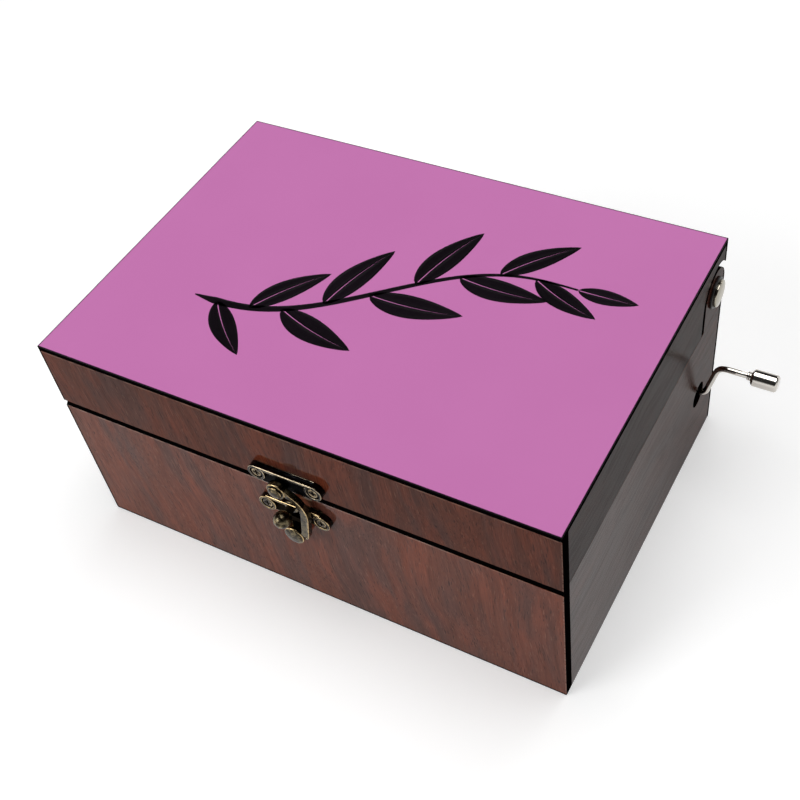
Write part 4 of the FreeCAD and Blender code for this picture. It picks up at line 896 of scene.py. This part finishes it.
def makePins():  # on either side a pin with a domed head, and a dark ring under the head
    own, ringOwn = pinLook, washerLook
    low, high = corners("hinge_pins")
    washerLow, washerHigh = corners("hinge_washers")
    wall, pivot = corners("base_right_panel")[1][0], pivots["lid_hinge"]
    shaft, head, inside = own["radius"], own["head"], -own["reach"]
    start, reach = washerHigh[0] - wall, high[0] - wall
    bore, outer, gap = ringOwn["bore"], (washerHigh[2] - washerLow[2]) / 2, ringOwn["gap"]
    pin = [(0, inside, 0, 0), (shaft, inside, 0, 0), (shaft, start, 0, 0), (head, start, 0.08, 0.2),
           (head, start + own["side"], 0.28, 0.8), (head * own["crownShare"], reach - own["crown"], 0.8, 0.2),
           (0, reach, 0, 0)]
    ring = [(bore, gap, 0, 0), (outer, gap, 0.1, 0), (outer, start, 0.2, 0), (bore, start, 0, 0)]
    ends = [((hand * wall, pivot[1], pivot[2]), (hand, 0, 0)) for hand in (1, -1)]
    replaceNode("hingePins", [turned(pin, *end) for end in ends], pinSteel, "hinge_pins")
    replaceNode("hingeWashers", [turned(ring, *end, closed=True) for end in ends], nearBlack, "hinge_washers")


makeRod()
makeKnob()
makeCollar()
makePins()
print("crank and pins made")


# Printed sheet on the lid

sheetLook = {"pink": (196, 118, 176), "pinkShade": (194, 116, 174), "ink": (9, 5, 9),
             "inkLight": (20, 13, 20), "inkDepth": 0.03, "border": (0.18, 0.42), "corner": 0.05, "edge": 0.04}
printLook = {"cloudFineness": 0.03, "cloudShare": 0.7, "levels": (0.35, 0.65), "roughLevels": (0.3, 0.7),
             "grainRough": 0.1, "bump": 0.05, "bumpDepth": 0.02}
sheetLow, sheetHigh = corners("lid_print_sheet")


def makePrint(name, first, second, rough, fineness, border=None):
    look = printLook
    material, tree, surface = newMaterial(name, Specular_IOR_Level=0.04)
    place = millimetres(tree)
    cloud = noise(tree, place, (look["cloudFineness"],) * 3, 3, 0.5)
    fibre = noise(tree, place, (fineness,) * 3, 3, 0.6)
    shade = plus(tree, times(tree, soften(tree, cloud, *look["levels"]), look["cloudShare"]),
                 times(tree, soften(tree, fibre, *look["levels"]), 1 - look["cloudShare"]))
    colour = blendColour(tree, shade, screenColour(*first), screenColour(*second))
    if border:  # a dark line along the cut edge
        along = splitAxes(tree, place)
        inwards = [minus(tree, sheetHigh[axis], sizeOf(tree, along[axis])) for axis in (0, 1)]
        near = soften(tree, lower(tree, *inwards), *border, 1.0, 0.0)
        colour = blendColour(tree, near, colour, screenColour(*sheetLook["ink"]))
    uneven = soften(tree, fibre, *look["roughLevels"], rough, rough + look["grainRough"])
    finishSurface(tree, surface, colour, uneven, fibre, look)
    return material


def makeSheet():
    own = sheetLook
    pink = makePrint("pinkPrint", own["pink"], own["pinkShade"], 0.5, 3.0, border=own["border"])
    sheet = block(sheetLow[:2], sheetHigh[:2], own["corner"], own["edge"], sheetLow[2],
                  sheetHigh[2] - own["inkDepth"], 2, side=3)
    replaceNode("lidPrint", [sheet], pink, "lid_print_sheet")


# a sprig of leaves: its stem runs from the lower left to the upper right, y = slope x + sway sin(pi x/reach)
sprigLook = {"reach": 50.0, "slope": 0.42, "sway": 7.0, "stemWidth": 1.4, "stemTaper": 0.75,
             "stemStart": 0.15, "leaves": 9, "firstLeaf": 0.08, "leafSpread": 0.80, "leafLength": 28.0,
             "leafWidth": 4.446, "leafAngle": 0.95, "angleLoss": 0.35, "leafBend": 0.16, "leafPower": 0.8,
             "smallest": 0.55, "vein": 0.32, "tipLength": 0.62, "tipWidth": 2.85, "tipBend": 0.05}
stemPoints = 90
inkSides = np.array([-1, 0, 0, 0, 0, -1]) * 0.98  # a strip's two lower corners are sunk into the sheet


def inkStrip(middle, left, offset):  # a thin strip: middle + offset left, lowest along its two sides
    flat = middle[:, None] + offset[..., None] * left[:, None]
    height = inkSides * sheetLook["inkDepth"] + sheetHigh[2]
    return np.concatenate([flat, np.broadcast_to(height, flat.shape[:2])[..., None]], -1), 0.0, True


# one leaf: its half width is w = W sin(pi t^0.8)^0.8 along the middle line, which bends like t^2, and it is
# cut by a vein into two halves; the loop round each half is bottom, side, top, side
def leaf(base, angle, length, width, bend):
    t = np.linspace(0, 1, 22)[:, None]
    ahead = np.array([math.cos(angle), math.sin(angle)])
    left = np.array([[-ahead[1], ahead[0]]])
    middle = np.array(base) + length * (t * ahead + bend * t ** 2 * left)
    outline = width * np.sin(math.pi * t ** sprigLook["leafPower"]) ** sprigLook["leafPower"]
    gap = np.minimum(sprigLook["vein"] * 0.5 * (1 - t), outline * 0.5)
    offset = gap + np.array([[0, 0, 0.35, 0.7, 1, 1]]) * (outline - gap)
    return [inkStrip(middle, left, hand * offset) for hand in (1, -1)]


def stem(points, widths):  # a ribbon along a line, square to it at every point
    ahead = np.gradient(points, axis=0)
    ahead /= np.linalg.norm(ahead, axis=1)[:, None]
    left = np.stack([-ahead[:, 1], ahead[:, 0]], -1)
    return inkStrip(points, left, np.array([[-1, -1, -0.4, 0.4, 1, 1]]) * widths[:, None])


def makeSprig():
    own, last = sprigLook, stemPoints - 1
    x = np.linspace(-own["reach"], own["reach"], stemPoints)
    line = np.stack([x, own["slope"] * x + own["sway"] * np.sin(math.pi * x / own["reach"])], -1)
    widths = own["stemWidth"] * (1 - own["stemTaper"] * np.linspace(0, 1, stemPoints))
    sheets = [stem(line, widths * np.minimum(1, np.linspace(0, 12, stemPoints) + own["stemStart"]))]
    for index in range(own["leaves"]):
        share = own["firstLeaf"] + own["leafSpread"] * index / (own["leaves"] - 1)
        at = int(share * last)
        ahead = line[min(at + 1, last)] - line[max(at - 1, 0)]
        hand = 1 if index % 2 else -1
        angle = math.atan2(ahead[1], ahead[0]) + hand * (own["leafAngle"] - own["angleLoss"] * share)
        middling = math.sin(math.pi * (0.15 + 0.75 * share))  # 1 near the middle of the stem
        size = own["smallest"] + (1 - own["smallest"]) * middling
        sheets += leaf(line[at], angle, own["leafLength"] * size, own["leafWidth"] * size,
                       -hand * own["leafBend"])
    ahead = line[-1] - line[-3]
    sheets += leaf(line[-1], math.atan2(ahead[1], ahead[0]), own["leafLength"] * own["tipLength"],
                   own["tipWidth"], own["tipBend"])
    ink = makePrint("blackInk", sheetLook["ink"], sheetLook["inkLight"], 0.42, 1.5)
    addPiece("printedSprig", sheets, ink, owners["lid_print_sheet"], slotNames["lid_print_sheet"])


makeSheet()
makeSprig()
print("printed sheet made")


# Stage, in metres: floor, world, lamps and camera

floorLook = {"half": 6.0, "drop": 0.0002, "colour": 0.8, "rough": 0.9, "nearGlow": 0.35, "farGlow": 1.0,
             "glowEnds": (0.35, 1.6)}
roomLook = {"horizon": 0.55, "ceiling": 0.03, "ceilingStart": 0.26, "whiteEnds": (0.12, 0.34)}
lamps = {
    "overheadBox": dict(place=(0.05, 0.1, 1.1), target=(0, 0, 0), width=0.8, height=0.8, power=9.1),
    "frontBox": dict(place=(-0.7, -1.0, 0.7), target=(0, 0, 0.04), width=0.7, height=0.7, power=9.0),
    "backBox": dict(place=(0.3, 1.2, 0.7), target=(0, 0, 0.04), width=0.5, height=0.4, power=2.0),
}
view = {
    "place": (0.14864, -0.19881, 0.2996), "lens": 53.535, "sensor": 36, "clip": (0.01, 50),
    "shift": (-0.03, 0.05325), "right": (0.87356, 0.475169, -0.105393),
    "up": (-0.306294, 0.704979, 0.639679), "back": (0.378255, -0.526516, 0.761383),
}


def seenRays(tree):  # 1 where a surface is seen directly, in a mirror or through glass
    rays = addNode(tree, "LightPath").outputs
    seen = higher(tree, rays["Is Camera Ray"], rays["Is Glossy Ray"])
    return higher(tree, seen, rays["Is Transmission Ray"])


def makeFloor():  # a square that seen rays find brighter the farther it is from the box
    own = floorLook
    mesh = bpy.data.meshes.new("paleFloor")
    square = np.array([[-1, -1, 0], [1, -1, 0], [1, 1, 0], [-1, 1, 0]]) * own["half"]
    mesh.from_pydata(square.tolist(), [], [(0, 1, 2, 3)])
    floor = bpy.data.objects.new("paleFloor", mesh)
    bpy.context.scene.collection.objects.link(floor)
    floor.location.z = -own["drop"]
    material, tree, surface = newMaterial("paleFloor", Roughness=own["rough"], Specular_IOR_Level=0.0,
                                          Emission_Strength=1.0)
    surface["Base Color"].default_value = (own["colour"],) * 3 + (1.0,)
    away = addNode(tree, "VectorMath", {"Vector": addNode(tree, "TexCoord").outputs["Object"]},
                   operation="LENGTH").outputs["Value"]
    glow = times(tree, seenRays(tree), soften(tree, away, *own["glowEnds"], own["nearGlow"], own["farGlow"]))
    put(tree, surface["Emission Color"], grey(tree, glow))
    mesh.materials.append(material)


def makeLamp(name, place, target, width, height, power):
    lamp = bpy.data.lights.new(name, "AREA")
    lamp.shape = "RECTANGLE"
    lamp.size, lamp.size_y, lamp.energy = width, height, power
    made = bpy.data.objects.new(name, lamp)
    bpy.context.scene.collection.objects.link(made)
    made.location = place
    made.rotation_euler = (Vector(target) - Vector(place)).to_track_quat("-Z", "Y").to_euler()


def makeRoom():  # pale at the horizon, dark overhead; seen directly or in a mirror, the horizon is white
    own = roomLook
    world = bpy.data.worlds.new("softRoom")
    world.use_nodes = True
    tree = world.node_tree
    height = splitAxes(tree, addNode(tree, "TexCoord").outputs["Generated"])["Z"]
    level = soften(tree, height, 0.0, own["ceilingStart"], own["horizon"], own["ceiling"])
    white = soften(tree, height, *own["whiteEnds"], 1.0, own["ceiling"])
    shown = plus(tree, times(tree, seenRays(tree), minus(tree, white, level)), level)
    put(tree, tree.nodes["Background"].inputs["Color"], grey(tree, shown))
    bpy.context.scene.world = world


def makeCamera():
    camera = bpy.data.cameras.new("viewer")
    camera.sensor_width, camera.lens = view["sensor"], view["lens"]
    camera.shift_x, camera.shift_y = view["shift"]
    camera.clip_start, camera.clip_end = view["clip"]
    viewer = bpy.data.objects.new("viewer", camera)
    bpy.context.scene.collection.objects.link(viewer)
    turnedView = Matrix((view["right"], view["up"], view["back"])).transposed().to_4x4()
    viewer.matrix_world = Matrix.Translation(view["place"]) @ turnedView
    bpy.context.scene.camera = viewer


makeFloor()
for lampName, lampLook in lamps.items():
    makeLamp(lampName, **lampLook)
makeRoom()
makeCamera()
bpy.context.scene.view_settings.view_transform = "Standard"
print("stage and camera set")
